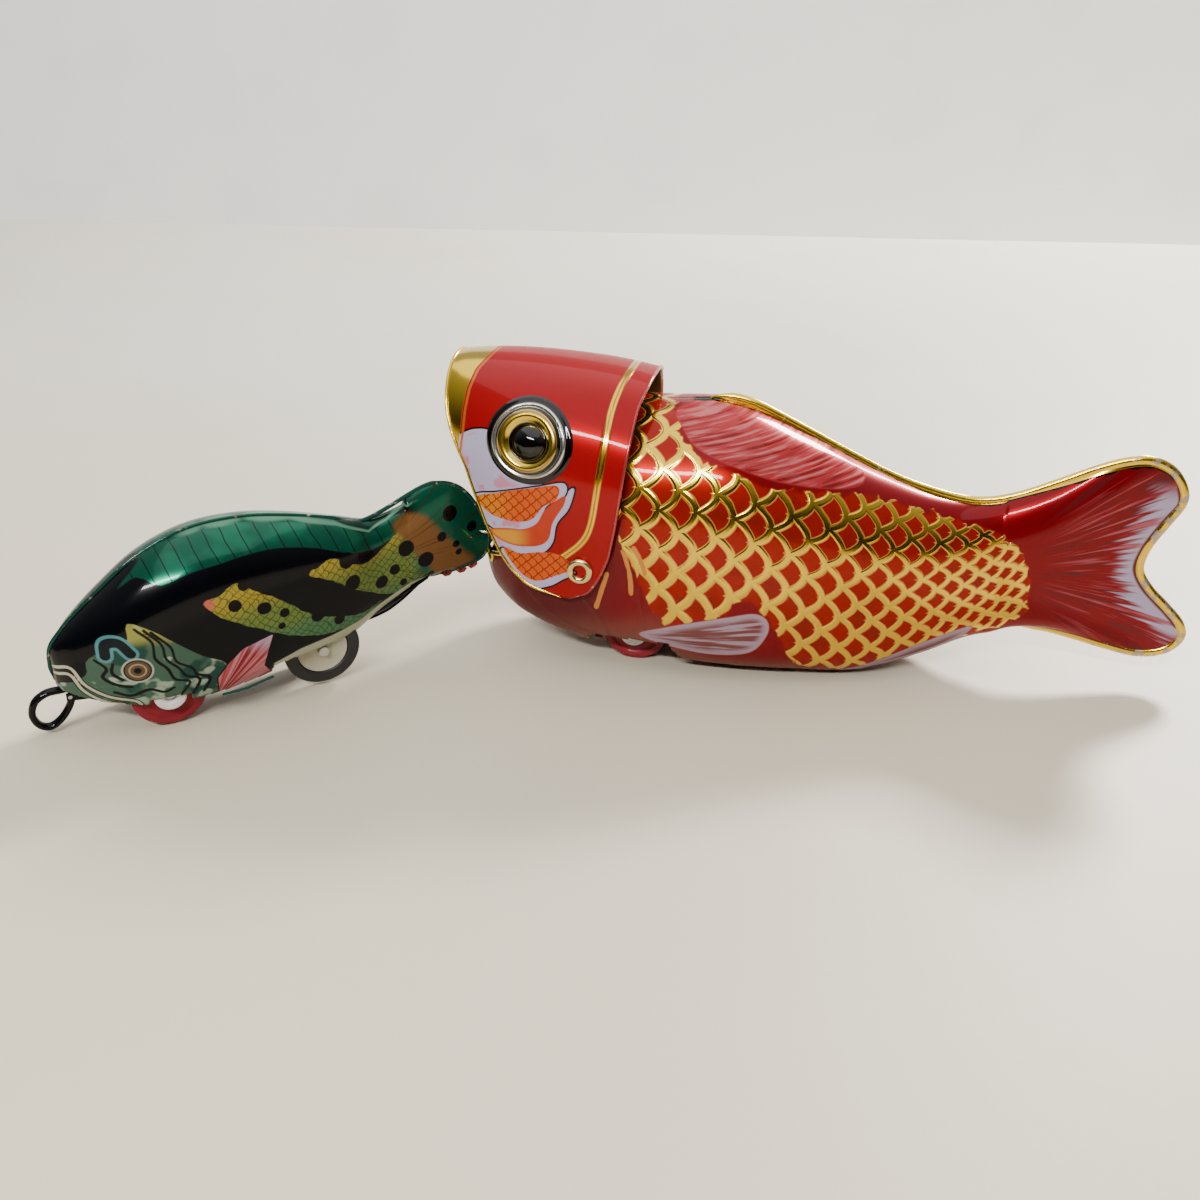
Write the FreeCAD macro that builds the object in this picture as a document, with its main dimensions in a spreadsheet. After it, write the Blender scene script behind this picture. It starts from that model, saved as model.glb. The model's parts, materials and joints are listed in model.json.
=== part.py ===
import FreeCAD, Part
import Sketcher
import math
import os

# Tin floor toy: a big carp with a nodding head chases and swallows a small trout.
# The trout hangs on a cord that a spring-driven reel inside the carp winds in.
# Row frame: +X towards the carp's tail, +Z up, origin under the middle of the whole toy.
# Sizes are millimetres.

Vector = FreeCAD.Vector
doc = FreeCAD.newDocument("ChasingFish")
sheet = doc.addObject("Spreadsheet::Sheet", "Sizes")

SIZES = [
    # where the carp's front axle stands in the row frame
    ("carp_x", -2.43), ("carp_y", 26.94),
    # tin plate
    ("tin", 0.5), ("seam_height", 2.0), ("seam_half", 0.45),
    # carp wheels and axles
    ("wheel_radius", 8.4), ("wheel_width", 3.4), ("hub_radius", 3.7), ("hub_length", 6.4),
    ("axle_radius", 1.2), ("fit_gap", 0.06), ("front_track", 11.3), ("rear_track", 8.0),
    ("rear_axle_x", 50.0), ("axle_end", 1.0),
    # head hinge
    ("pivot_x", -11.5), ("pivot_z", 28.0), ("eyelet_bore", 1.55), ("eyelet_radius", 2.0),
    ("eyelet_flange", 3.1), ("eyelet_inner", 20.4), ("eyelet_outer", 26.6), ("flange_thick", 0.5),
    # reel motor
    ("reel_x", 34.0), ("reel_z", 14.6), ("arbor_radius", 1.5), ("arbor_half", 10.0),
    ("plate_y", 8.0), ("plate_thick", 0.8), ("plate_front", 19.0), ("plate_rear", 41.0),
    ("plate_low", 3.6), ("plate_high", 25.2), ("drum_core", 5.5), ("drum_flange", 9.0),
    ("drum_low", -1.4), ("drum_high", 7.2), ("spring_low", -7.2), ("spring_high", -2.0),
    ("spring_strip", 0.35), ("spring_turns", 7.0), ("spring_in", 2.2), ("spring_out", 8.6),
    ("crank_radius", 5.0), ("crank_throw", 3.0), ("crank_pin", 0.8), ("pillar_radius", 1.3),
    # nod linkage
    ("lever_arm", 8.0), ("lever_y", 20.4), ("lever_thick", 0.8), ("link_y", 13.9),
    ("link_thick", 0.7), ("link_width", 2.4), ("link_eye", 1.7),
    # gullet and belly
    ("tray_front", -27.0), ("tray_rear", 50.0), ("tray_half", 17.0),
    ("belly_front", -11.0), ("belly_rear", 61.0), ("belly_half", 14.4), ("belly_z", 3.1),
    ("bracket_y", 9.6), ("rear_bracket_y", 5.4), ("guide_radius", 2.0), ("guide_wire", 0.6),
    # trout: where its nose stands, how it is turned and how it leans
    ("trout_x", -121.7), ("trout_y", -77.0), ("trout_z", 1.03), ("trout_turn", 40.0), ("trout_lean", 5.0),
    ("trout_front_x", 23.7), ("trout_front_z", 8.6), ("trout_track", 6.0),
    ("trout_rear_x", 59.9), ("trout_rear_z", 9.5), ("tyre_radius", 9.2), ("tyre_hub", 6.1),
    ("tyre_low", 4.6), ("tyre_width", 2.6),
    # pull ring and tow rings
    ("ring_width", 2.2), ("ring_strip", 0.7), ("ring_pin", 0.45), ("ring_pin_x", 3.6), ("ring_pin_z", 8.6),
    ("ring_long", 6.0), ("ring_wide", 3.9), ("ring_slope", 48.0),
    ("tow_x", 105.5), ("tow_z", 30.0), ("tow_radius", 2.0), ("tow_wire", 0.4),
    ("link_ring_radius", 1.8), ("link_ring_wire", 0.35), ("link_ring_shift", 2.8),
]
for row, (alias, value) in enumerate(SIZES, start=1):
    sheet.set("A%d" % row, alias)
    sheet.set("B%d" % row, str(value))
    sheet.setAlias("B%d" % row, alias)
doc.recompute()


def size(alias):
    return float(sheet.get(alias))


CARP = FreeCAD.Placement(Vector(size("carp_x"), size("carp_y"), 0), FreeCAD.Rotation())
TROUT = CARP.multiply(FreeCAD.Placement(
    Vector(size("trout_x"), size("trout_y"), size("trout_z")),
    FreeCAD.Rotation(Vector(0, 0, 1), size("trout_turn")).multiply(
        FreeCAD.Rotation(Vector(1, 0, 0), size("trout_lean")))))
ALONG_Y = FreeCAD.Rotation(Vector(1, 0, 0), -90)
nodes = []


# ---------------------------------------------------------------- helpers
def bind(item, bindings):
    for field, formula in bindings.items():
        for word in sorted((alias for alias, value in SIZES), key=len, reverse=True):
            formula = replace_word(formula, word)
        item.setExpression(field, formula)


def replace_word(formula, word):
    pieces = []
    for token in formula.replace("(", " ( ").replace(")", " ) ").split(" "):
        pieces.append("Sizes." + word if token == word else token)
    return " ".join(pieces)


def rod(name, radius, low, high, x, z):
    """A cylinder along Y from low to high."""
    item = doc.addObject("Part::Cylinder", name)
    item.Placement = FreeCAD.Placement(Vector(0, 0, 0), ALONG_Y)
    bind(item, {"Radius": radius, "Height": "( " + high + " ) - ( " + low + " )",
                "Placement.Base.x": x, "Placement.Base.y": low, "Placement.Base.z": z})
    return item


def block(name, x, y, z):
    """A box between the low and high formulas given for each axis."""
    item = doc.addObject("Part::Box", name)
    bind(item, {"Length": "( %s ) - ( %s )" % (x[1], x[0]), "Width": "( %s ) - ( %s )" % (y[1], y[0]),
                "Height": "( %s ) - ( %s )" % (z[1], z[0]), "Placement.Base.x": x[0],
                "Placement.Base.y": y[0], "Placement.Base.z": z[0]})
    return item


def torus(name, radius, wire, x, z, rotation):
    item = doc.addObject("Part::Torus", name)
    item.Placement = FreeCAD.Placement(Vector(0, 0, 0), rotation)
    bind(item, {"Radius1": radius, "Radius2": wire, "Placement.Base.x": x, "Placement.Base.z": z})
    return item


def cut(name, base, *tools):
    item = doc.addObject("Part::Cut", name)
    item.Base = base
    item.Tool = tools[0] if len(tools) == 1 else fuse(name + "_tools", *tools)
    return item


def fuse(name, *shapes):
    item = doc.addObject("Part::MultiFuse", name)
    item.Shapes = list(shapes)
    return item


def group(name, *shapes):
    item = doc.addObject("Part::Compound", name)
    item.Links = list(shapes)
    return item


def origin_plane(body, role):
    return next(item for item in body.Origin.OriginFeatures if item.Role == role)


def feature(name, shape):
    item = doc.addObject("Part::Feature", name)
    item.Shape = shape
    return item


def node(name, item, place):
    """Names a finished sub-part and stands it in the row frame."""
    if item.TypeId in ("Part::Cylinder", "Part::Box", "Part::Torus"):
        item = group(name + "_piece", item)
    item.Label = name
    item.Placement = place
    nodes.append((name, item))


# ---------------------------------------------------------------- outlines of the fishes
# Each station: x, ridge height, keel height, half width, height of the widest point.
CARP_BODY = [
    (-41.6, 62.0, 22.0, 2.0, 38.0), (-40.2, 62.0, 18.0, 8.5, 38.0), (-36.5, 62.6, 13.2, 14.6, 36.0),
    (-28, 63.2, 8.2, 20.2, 34.0),
    (-12, 64.0, 3.6, 23.8, 32.0), (4, 64.2, 1.6, 25.2, 31.0), (22, 64.0, 0.3, 25.0, 30.0),
    (40, 57.2, 0.1, 22.4, 28.0), (56, 49.8, 0.4, 18.0, 26.0), (70, 44.6, 4.6, 12.6, 25.0),
    (82, 43.2, 9.4, 7.6, 26.0), (94, 47.0, 11.4, 4.4, 28.0), (108, 53.6, 8.6, 2.4, 30.0),
    (133, 58.0, 5.0, 1.2, 30.0),
]
CARP_HEAD = [
    (-53, 71.6, 12.0, 54.0), (-50, 72.6, 13.8, 53.0), (-44, 73.8, 17.6, 50.0), (-34, 74.2, 21.6, 47.0),
    (-22, 73.8, 24.4, 44.0), (-8, 72.4, 26.2, 42.0), (4, 70.0, 27.2, 42.0),
]
TROUT_BODY = [
    (1.6, 20.8, 10.6, 2.4, 16.0), (6, 26.2, 7.4, 6.8, 17.6), (13.5, 32.6, 4.6, 10.6, 20.0),
    (23, 39.6, 2.4, 12.8, 23.0), (34, 43.8, 3.0, 13.4, 26.0), (46, 44.4, 5.6, 12.8, 28.0),
    (58, 42.4, 8.4, 11.0, 28.6), (68, 39.8, 10.6, 8.6, 28.6), (76, 38.2, 14.6, 5.2, 28.6),
    (86, 41.2, 19.4, 3.2, 30.0), (98, 42.8, 19.6, 2.0, 31.0), (108, 42.6, 19.0, 1.2, 31.0),
]
# Side outlines that trim the lofted forms.
CARP_SIDE = [
    (-43, 23.4), (-43, -2), (60, -2), (88, 8), (100, 11.2), (112, 9.2),
    (122, 7.2), (128.6, 8.8), (130.6, 12), (129.2, 16), (121.6, 24), (118.2, 28.8), (118.8, 34.4),
    (122, 41), (124.8, 46.6), (123.4, 50.4), (120, 54.2), (115.6, 55.6), (105.6, 53), (97.4, 49),
    (89, 46.5), (60, 60), (20, 70), (-18, 70), (-20, 48), (-22, 36), (-24.6, 31.4), (-30, 28),
]
HEAD_SIDE = [
    (-46.8, 62), (-47.4, 70), (-47.2, 80), (2.6, 80), (2.4, 72), (0.2, 66), (-0.4, 59), (-1.8, 49), (-3.2, 39),
    (-4.8, 32), (-7, 26), (-9.4, 22.4), (-12.4, 20.6), (-18, 20), (-25.5, 22), (-33, 30), (-38.4, 43),
    (-43.8, 54),
]
TROUT_SIDE = [
    (1, 14), (2, 11.4), (6, 10.4), (12, 8.8), (22, 7.2), (34, 7.2), (46.5, 8.6), (47.5, 11), (58, 11.4),
    (68, 12.2), (76, 14.5), (86, 19), (92, 20.2), (99, 20.4), (103.2, 21.8), (106, 25.6),
    (106.4, 29), (104.6, 33.6), (101.6, 38.2), (97.4, 41.4), (92.4, 42.8), (86, 43.4), (40, 60), (14, 50),
    (1, 24),
]
BACK_POWER = 2.3
BELLY_POWER = 4.0
SECTION_STEPS = 10


def section_points(top, low, half, mid, steps):
    """Half a closed cross-section, ridge to keel, as a superellipse of two heights."""
    points = []
    for step in range(steps + 1):
        angle = math.pi * step / steps
        power = BACK_POWER if angle < math.pi / 2 else BELLY_POWER
        across = abs(math.sin(angle)) ** (2 / power)
        upright = abs(math.cos(angle)) ** (2 / power)
        rise = (top - mid) if angle < math.pi / 2 else (low - mid)
        points.append((half * across, mid + rise * upright))
    return points


def refine(stations, pitch):
    """Stations at an even pitch, on a smooth cubic through the given ones."""
    finer = []
    for index in range(len(stations) - 1):
        before = stations[max(index - 1, 0)]
        here, after = stations[index], stations[index + 1]
        beyond = stations[min(index + 2, len(stations) - 1)]
        span = after[0] - here[0]
        count = max(1, round(span / pitch))
        for step in range(count):
            share = step / count
            row = []
            for a, b, c, d in zip(before, here, after, beyond):
                left = (c - a) / (after[0] - before[0]) * span
                right = (d - b) / (beyond[0] - here[0]) * span
                cubic = ((2 * share ** 3 - 3 * share ** 2 + 1) * b + (share ** 3 - 2 * share ** 2 + share) * left
                         + (3 * share ** 2 - 2 * share ** 3) * c + (share ** 3 - share ** 2) * right)
                row.append(cubic)
            row[0] = here[0] + span * share
            finer.append(tuple(row))
    return finer + [stations[-1]]


def curve(points):
    line = Part.BSplineCurve()
    line.interpolate(points)
    return line.toShape()


def half_form(stations, side, inset, overhang):
    """One half of a lofted body; side is -1 for left, +1 for right."""
    wires = []
    for x, top, low, half, mid in stations:
        shape = section_points(top - inset, low + inset, max(half - inset, 0.4), mid, SECTION_STEPS)
        points = [Vector(x, side * y, z) for y, z in shape]
        ends = [Vector(x, -side * overhang, points[-1].z), Vector(x, -side * overhang, points[0].z)]
        edges = [curve(points)]
        if overhang > 0:
            edges.append(Part.makeLine(points[-1], ends[0]))
            edges.append(Part.makeLine(ends[0], ends[1]))
            edges.append(Part.makeLine(ends[1], points[0]))
        else:
            edges.append(Part.makeLine(points[-1], points[0]))
        wires.append(Part.Wire(edges))
    return Part.makeLoft(wires, True, True)


def slab(outline, low, high):
    """An outline in the XZ plane, thick from low to high in Y."""
    points = [Vector(x, low, z) for x, z in outline]
    face = Part.Face(Part.makePolygon(points + [points[0]]))
    return face.extrude(Vector(0, high - low, 0))


def outside(outline):
    """Everything beside an outline in the XZ plane, to cut away."""
    return Part.makeBox(400, 120, 240, Vector(-200, -60, -100)).cut(slab(outline, -61, 61))


def seam(stations, first, last, side):
    """The crimped flange that stands along the ridge."""
    ridge = [(x, top) for x, top, low, half, mid in stations if first <= x <= last]
    lower = curve([Vector(x, 0, z - 1.2) for x, z in ridge])
    upper = curve([Vector(x, 0, z + size("seam_height") - 0.6) for x, z in ridge])
    ends = [Part.makeLine(lower.Vertexes[0].Point, upper.Vertexes[0].Point),
            Part.makeLine(lower.Vertexes[1].Point, upper.Vertexes[1].Point)]
    face = Part.Face(Part.Wire(Part.__sortEdges__([lower, upper] + ends)))
    return face.extrude(Vector(0, side * size("seam_half"), 0))


def body_shell(stations, outline, side, opening, holes, seam_span, front_shift, hollow_end):
    """A pressed half shell with its belly opening, its holes and its seam flange."""
    stations = refine(stations, 5.0)
    outer = half_form(stations, side, 0.0, 0.0)
    hollow = [station for station in stations[1:] if station[0] < hollow_end]
    longer = [(stations[0][0] + front_shift,) + stations[0][1:]] + hollow
    inner = half_form(longer, side, size("tin"), 2.0)
    shell = outer.cut(inner)
    shell = shell.fuse(seam(stations, seam_span[0], seam_span[1], side))
    for tool in [outside(outline), opening] + holes:
        shell = shell.cut(tool)
    solids = sorted(shell.Solids, key=lambda solid: solid.Volume)
    return solids[-1]


def pin_tool(radius, x, z, low, high):
    return Part.makeCylinder(radius, high - low, Vector(x, low, z), Vector(0, 1, 0))


# ---------------------------------------------------------------- carp shells
pivot_hole = pin_tool(size("eyelet_radius") + size("fit_gap"), size("pivot_x"), size("pivot_z"), -40, 40)
BELLY_EDGE = [("belly_front", "belly_half - 2.6"), ("belly_front + 16", "belly_half"),
              ("belly_rear - 24", "belly_half"), ("belly_rear - 9", "belly_half - 0.8"),
              ("belly_rear", "belly_half - 3.4")]


def reading(formula):
    """The value of a sum of sheet names and numbers."""
    total, sign = 0.0, 1
    for token in formula.split(" "):
        if token in ("+", "-"):
            sign = 1 if token == "+" else -1
        else:
            total += sign * (float(token) if token[0].isdigit() else size(token))
    return total


belly_edge = [(reading(x), reading(y)) for x, y in BELLY_EDGE]
belly_rim = [Vector(x, y + 0.2, -6) for x, y in belly_edge]
belly_rim += [Vector(point.x, -point.y, -6) for point in reversed(belly_rim)]
belly_hole = Part.Face(Part.makePolygon(belly_rim + [belly_rim[0]])).extrude(Vector(0, 0, 12))
wheel_arch = slab([(-16, -2), (-9.8, 9.4), (9.8, 9.4), (16, -2)], -26, 26)
for label, side in (("carp_left_shell", -1), ("carp_right_shell", 1)):
    shape = body_shell(CARP_BODY, CARP_SIDE, side, belly_hole, [pivot_hole, wheel_arch],
                       (22, 94), size("tin"), 102)
    node(label, feature(label + "_form", shape), CARP)


def head_form(inset, longer):
    wires = []
    stations = refine(CARP_HEAD, 4.0)
    for index, (x, top, half, mid) in enumerate(stations):
        x = x + (-longer if index == 0 else longer if index == len(stations) - 1 else 0)
        right = section_points(top - inset, 0, half - inset, mid, SECTION_STEPS)[:SECTION_STEPS // 2 + 1]
        arch = [Vector(x, y, z) for y, z in reversed(right)] + [Vector(x, -y, z) for y, z in right[1:]]
        foot = 14.0 - inset
        edges = [curve(arch), Part.makeLine(arch[-1], Vector(x, arch[-1].y, foot)),
                 Part.makeLine(Vector(x, arch[-1].y, foot), Vector(x, arch[0].y, foot)),
                 Part.makeLine(Vector(x, arch[0].y, foot), arch[0])]
        wires.append(Part.Wire(edges))
    return Part.makeLoft(wires, True, True)


head = head_form(0.0, 0.0).cut(head_form(size("tin"), 2.0)).cut(outside(HEAD_SIDE))
head = head.cut(pin_tool(size("eyelet_radius"), size("pivot_x"), size("pivot_z"), -40, 40))
head_solids = sorted(head.Solids, key=lambda solid: solid.Volume)
node("head_shell", feature("head_form", head_solids[-1]), CARP)

# ---------------------------------------------------------------- head hinge: eyelets turn with the head
eyelets = []
for label, side in (("left", -1), ("right", 1)):
    span = ("eyelet_inner", "eyelet_outer") if side > 0 else ("0 - eyelet_outer", "0 - eyelet_inner")
    rim = ("eyelet_outer", "eyelet_outer + flange_thick")
    if side < 0:
        rim = ("0 - eyelet_outer - flange_thick", "0 - eyelet_outer")
    tube = rod("eyelet_tube_" + label, "eyelet_radius", span[0], span[1], "pivot_x", "pivot_z")
    flange = rod("eyelet_flange_" + label, "eyelet_flange", rim[0], rim[1], "pivot_x", "pivot_z")
    bore = rod("eyelet_bore_" + label, "eyelet_bore", "-40", "40", "pivot_x", "pivot_z")
    eyelets.append(cut("eyelet_" + label, fuse("eyelet_solid_" + label, tube, flange), bore))
node("head_eyelets", group("eyelet_pair", *eyelets), CARP)

# Lever clamped on the right eyelet inside the body, with the pin that takes the nod link.
lever = fuse("lever_blank",
             rod("lever_boss", "eyelet_flange", "lever_y - lever_thick", "lever_y", "pivot_x", "pivot_z"),
             block("lever_arm", ("pivot_x - 2", "pivot_x + 2"), ("lever_y - lever_thick", "lever_y"),
                   ("pivot_z - lever_arm - 1.5", "pivot_z")),
             rod("lever_pin", "crank_pin", "link_y - link_thick - 0.6", "lever_y - 0.2",
                 "pivot_x", "pivot_z - lever_arm"))
node("jaw_lever", lever, CARP)

# Flat wire link from the lever pin back to the crank on the reel arbor.
link_run = math.hypot(size("reel_x") - size("crank_throw") - size("pivot_x"),
                      size("reel_z") - size("pivot_z") + size("lever_arm"))
link_turn = math.degrees(math.atan2(size("pivot_z") - size("lever_arm") - size("reel_z"),
                                    size("reel_x") - size("crank_throw") - size("pivot_x")))
bar = doc.addObject("PartDesign::Body", "nod_link_body")
link_sketch = bar.newObject("Sketcher::SketchObject", "nod_link_outline")
link_sketch.AttachmentSupport = [(origin_plane(bar, "XZ_Plane"), "")]
link_sketch.MapMode = "FlatFace"
half_width = size("link_width") / 2
link_sketch.addGeometry(Part.ArcOfCircle(Part.Circle(Vector(0, 0, 0), Vector(0, 0, 1), half_width),
                                         math.pi / 2, 3 * math.pi / 2))
link_sketch.addGeometry(Part.ArcOfCircle(Part.Circle(Vector(link_run, 0, 0), Vector(0, 0, 1), half_width),
                                         -math.pi / 2, math.pi / 2))
link_sketch.addGeometry(Part.LineSegment(Vector(0, half_width, 0), Vector(link_run, half_width, 0)))
link_sketch.addGeometry(Part.LineSegment(Vector(0, -half_width, 0), Vector(link_run, -half_width, 0)))
link_sketch.addGeometry(Part.Circle(Vector(0, 0, 0), Vector(0, 0, 1), size("crank_pin") + size("fit_gap")))
link_pad = bar.newObject("PartDesign::Pad", "nod_link_pad")
link_pad.Profile = link_sketch
bind(link_pad, {"Length": "link_thick"})
node("nod_link", bar, CARP.multiply(FreeCAD.Placement(
    Vector(size("pivot_x"), size("link_y"), size("pivot_z") - size("lever_arm")),
    FreeCAD.Rotation(Vector(0, 1, 0), link_turn))))

# ---------------------------------------------------------------- gullet tray, cord guide and belly plate
tray = block("tray_sheet", ("tray_front", "tray_rear"), ("0 - tray_half", "tray_half"),
             ("plate_high", "plate_high + tin"))
node("gullet_tray", tray, CARP)
guide = torus("cord_guide_ring", "guide_radius", "guide_wire", "tray_front + 2",
              "plate_high - guide_radius - guide_wire", FreeCAD.Rotation(Vector(0, 1, 0), 90))
node("cord_guide", guide, CARP)

plate_body = doc.addObject("PartDesign::Body", "belly_sheet")
plate_sketch = plate_body.newObject("Sketcher::SketchObject", "belly_outline")
plate_sketch.AttachmentSupport = [(origin_plane(plate_body, "XY_Plane"), "")]
plate_sketch.MapMode = "FlatFace"
corners = [Vector(x, y, 0) for x, y in belly_edge] + [Vector(x, -y, 0) for x, y in reversed(belly_edge)]
for index, corner in enumerate(corners):
    plate_sketch.addGeometry(Part.LineSegment(corner, corners[(index + 1) % len(corners)]))
for index in range(len(corners)):
    plate_sketch.addConstraint(Sketcher.Constraint("Coincident", index, 2, (index + 1) % len(corners), 1))
plate_pad = plate_body.newObject("PartDesign::Pad", "belly_pad")
plate_pad.Profile = plate_sketch
bind(plate_pad, {"Length": "tin"})
plate_body.Placement = FreeCAD.Placement(Vector(0, 0, size("belly_z")), FreeCAD.Rotation())
floor_sheet = plate_body
brackets = []
slots = []
for label, x, low in (("front", "0", "bracket_y"), ("rear", "rear_axle_x", "rear_bracket_y")):
    for side, sign in (("left", "0 - "), ("right", "")):
        near = ("0 - %s - plate_thick" % low, "0 - " + low) if sign else (low, low + " + plate_thick")
        ear = block("ear_%s_%s" % (label, side), (x + " - 3", x + " + 3"), near,
                    ("belly_z", "wheel_radius + 3"))
        hole = rod("ear_hole_%s_%s" % (label, side), "axle_radius + fit_gap", near[0] + " - 1",
                   near[1] + " + 1", x, "wheel_radius")
        brackets.append(cut("bracket_%s_%s" % (label, side), ear, hole))
        track = "front_track" if label == "front" else "rear_track"
        wide = "hub_length + 1" if label == "front" else "wheel_width + 0.5"
        inner, outer = "( %s - 0.5 )" % track, "( %s + %s )" % (track, wide)
        reach = ("0 - " + outer, "0 - " + inner) if sign else (inner, outer)
        slots.append(block("slot_%s_%s" % (label, side),
                           (x + " - wheel_radius - 0.8", x + " + wheel_radius + 0.8"), reach, ("-2", "9")))
belly = cut("belly_plain", floor_sheet, *slots)
node("belly_plate", fuse("belly_with_ears", belly, *brackets), CARP)


# ---------------------------------------------------------------- wheels and axles
def wheel_pair(prefix, x, z, track, rim, bore, width, hub_reach):
    """Two rims and two pressed hubs on one axle."""
    rims, hubs = [], []
    for side in ("left", "right"):
        outer = "%s + %s" % (track, width)
        reach = (track, outer) if side == "right" else ("0 - %s - %s" % (track, width), "0 - " + track)
        tip = "%s + %s" % (track, hub_reach)
        boss = (track, tip) if side == "right" else ("0 - %s - %s" % (track, hub_reach), "0 - " + track)
        disc = rod("%s_rim_disc_%s" % (prefix, side), rim, reach[0], reach[1], x, z)
        hollow = rod("%s_rim_bore_%s" % (prefix, side), bore, "-40", "40", x, z)
        rims.append(cut("%s_rim_%s" % (prefix, side), disc, hollow))
        core = rod("%s_hub_disc_%s" % (prefix, side), bore, boss[0], boss[1], x, z)
        eye = rod("%s_hub_bore_%s" % (prefix, side), "axle_radius", "-40", "40", x, z)
        hubs.append(cut("%s_hub_%s" % (prefix, side), core, eye))
    return group(prefix + "_rims", *rims), group(prefix + "_hub_pair", *hubs)


def axle(name, place, track, reach, x, z, tip="axle_end"):
    end = "%s + %s + %s" % (track, reach, tip)
    node(name, rod(name + "_rod", "axle_radius", "0 - ( " + end + " )", end, x, z), place)


rims, hubs = wheel_pair("carp_front", "0", "wheel_radius", "front_track", "wheel_radius",
                        "hub_radius", "wheel_width", "hub_length")
node("carp_front_wheels", rims, CARP)
node("carp_front_hubs", hubs, CARP)
axle("carp_front_axle", CARP, "front_track", "hub_length", "0", "wheel_radius")
rims, hubs = wheel_pair("carp_rear", "rear_axle_x", "wheel_radius", "rear_track", "wheel_radius",
                        "hub_radius", "wheel_width", "wheel_width")
node("carp_rear_tyres", rims, CARP)
node("carp_rear_hubs", hubs, CARP)
axle("carp_rear_axle", CARP, "rear_track", "wheel_width", "rear_axle_x", "wheel_radius")
rims, hubs = wheel_pair("trout_front", "trout_front_x", "trout_front_z", "trout_track",
                        "wheel_radius", "hub_radius - 0.3", "wheel_width", "hub_length - 2.2")
node("trout_front_wheels", rims, TROUT)
node("trout_front_hubs", hubs, TROUT)
axle("trout_front_axle", TROUT, "trout_track", "hub_length - 2.2", "trout_front_x", "trout_front_z", "0.3")
rims, hubs = wheel_pair("trout_rear", "trout_rear_x", "trout_rear_z", "tyre_low",
                        "tyre_radius", "tyre_hub", "tyre_width", "tyre_width")
node("trout_rear_tyres", rims, TROUT)
node("trout_rear_hubs", hubs, TROUT)
axle("trout_rear_axle", TROUT, "tyre_low", "tyre_width", "trout_rear_x", "trout_rear_z")

# ---------------------------------------------------------------- reel motor
for label, near in (("motor_plate_left", ("0 - plate_y - plate_thick", "0 - plate_y")),
                    ("motor_plate_right", ("plate_y", "plate_y + plate_thick"))):
    sheet_metal = block(label + "_sheet", ("plate_front", "plate_rear"), near, ("plate_low", "plate_high"))
    bearing = rod(label + "_bearing", "arbor_radius + fit_gap", "-12", "12", "reel_x", "reel_z")
    node(label, cut(label + "_cut", sheet_metal, bearing), CARP)
pillars = [rod("pillar_%d" % index, "pillar_radius", "0 - plate_y", "plate_y", x, z)
           for index, (x, z) in enumerate((("plate_front + 2.6", "plate_low + 2.6"),
                                           ("plate_front + 2.6", "plate_high - 2.6"),
                                           ("plate_rear - 1.6", "plate_high - 1.6")))]
node("motor_pillars", group("pillar_set", *pillars), CARP)
node("reel_arbor", rod("arbor_rod", "arbor_radius", "0 - arbor_half", "arbor_half", "reel_x", "reel_z"), CARP)
drum = fuse("drum_blank",
            rod("drum_core_rod", "drum_core", "drum_low", "drum_high", "reel_x", "reel_z"),
            rod("drum_flange_low", "drum_flange", "drum_low", "drum_low + 0.8", "reel_x", "reel_z"),
            rod("drum_flange_high", "drum_flange", "drum_high - 0.8", "drum_high", "reel_x", "reel_z"))
node("cord_reel", cut("drum_cut", drum, rod("drum_bore", "arbor_radius", "-20", "20", "reel_x", "reel_z")), CARP)
crank = fuse("crank_blank",
             rod("crank_disc", "crank_radius", "plate_y + plate_thick + 0.4", "plate_y + plate_thick + 1.4",
                 "reel_x", "reel_z"),
             rod("crank_pin_rod", "crank_pin", "plate_y + plate_thick + 1.2", "link_y - link_thick - 0.4",
                 "reel_x - crank_throw", "reel_z"))
node("nod_crank", cut("crank_cut", crank, rod("crank_bore", "arbor_radius", "-20", "20", "reel_x", "reel_z")),
     CARP)


def spiral_spring():
    """A flat spiral strip wound round the arbor."""
    turns, strip = size("spring_turns"), size("spring_strip")
    steps = int(turns * 16)
    inner, outer = [], []
    for step in range(steps + 1):
        share = step / steps
        angle = 2 * math.pi * turns * share
        radius = size("spring_in") + (size("spring_out") - size("spring_in") - strip) * share
        ray = Vector(math.cos(angle), 0, math.sin(angle))
        centre = Vector(size("reel_x"), size("spring_low"), size("reel_z"))
        inner.append(centre + ray * radius)
        outer.append(centre + ray * (radius + strip))
    edges = [curve(inner), Part.makeLine(inner[-1], outer[-1]), curve(outer),
             Part.makeLine(outer[0], inner[0])]
    face = Part.Face(Part.Wire(Part.__sortEdges__(edges)))
    return face.extrude(Vector(0, size("spring_high") - size("spring_low"), 0))


node("mainspring", feature("spring_strip_form", spiral_spring()), CARP)

# ---------------------------------------------------------------- trout shells and belly
TROUT_BELLY = [(7.6, 9.6), (10, 7.0), (13.4, 6.2), (17, 7.8), (20, 10.4), (31, 10.6), (48, 12.4),
               (66, 13.6), (76, 15.4), (84, 18.2), (88.6, 20.6)]
trout_opening = slab([(7, -9), (8.4, 11), (11, 12.4)] + [(x, z + 1.6) for x, z in TROUT_BELLY[5:]]
                     + [(91, 20), (91, -9)], -8.8, 8.8)
trout_arches = [
    slab([(18.8, 0), (19.0, 12.6), (28.4, 12.6), (28.6, 0)], -20, 20),
    pin_tool(0.9, size("tow_x") - size("tow_radius"), size("tow_z"), -10, 10),
]
for label, side in (("trout_left_shell", -1), ("trout_right_shell", 1)):
    shape = body_shell(TROUT_BODY, TROUT_SIDE, side, trout_opening, trout_arches,
                       (13, 76), size("tin"), 88)
    node(label, feature(label + "_form", shape), TROUT)

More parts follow.
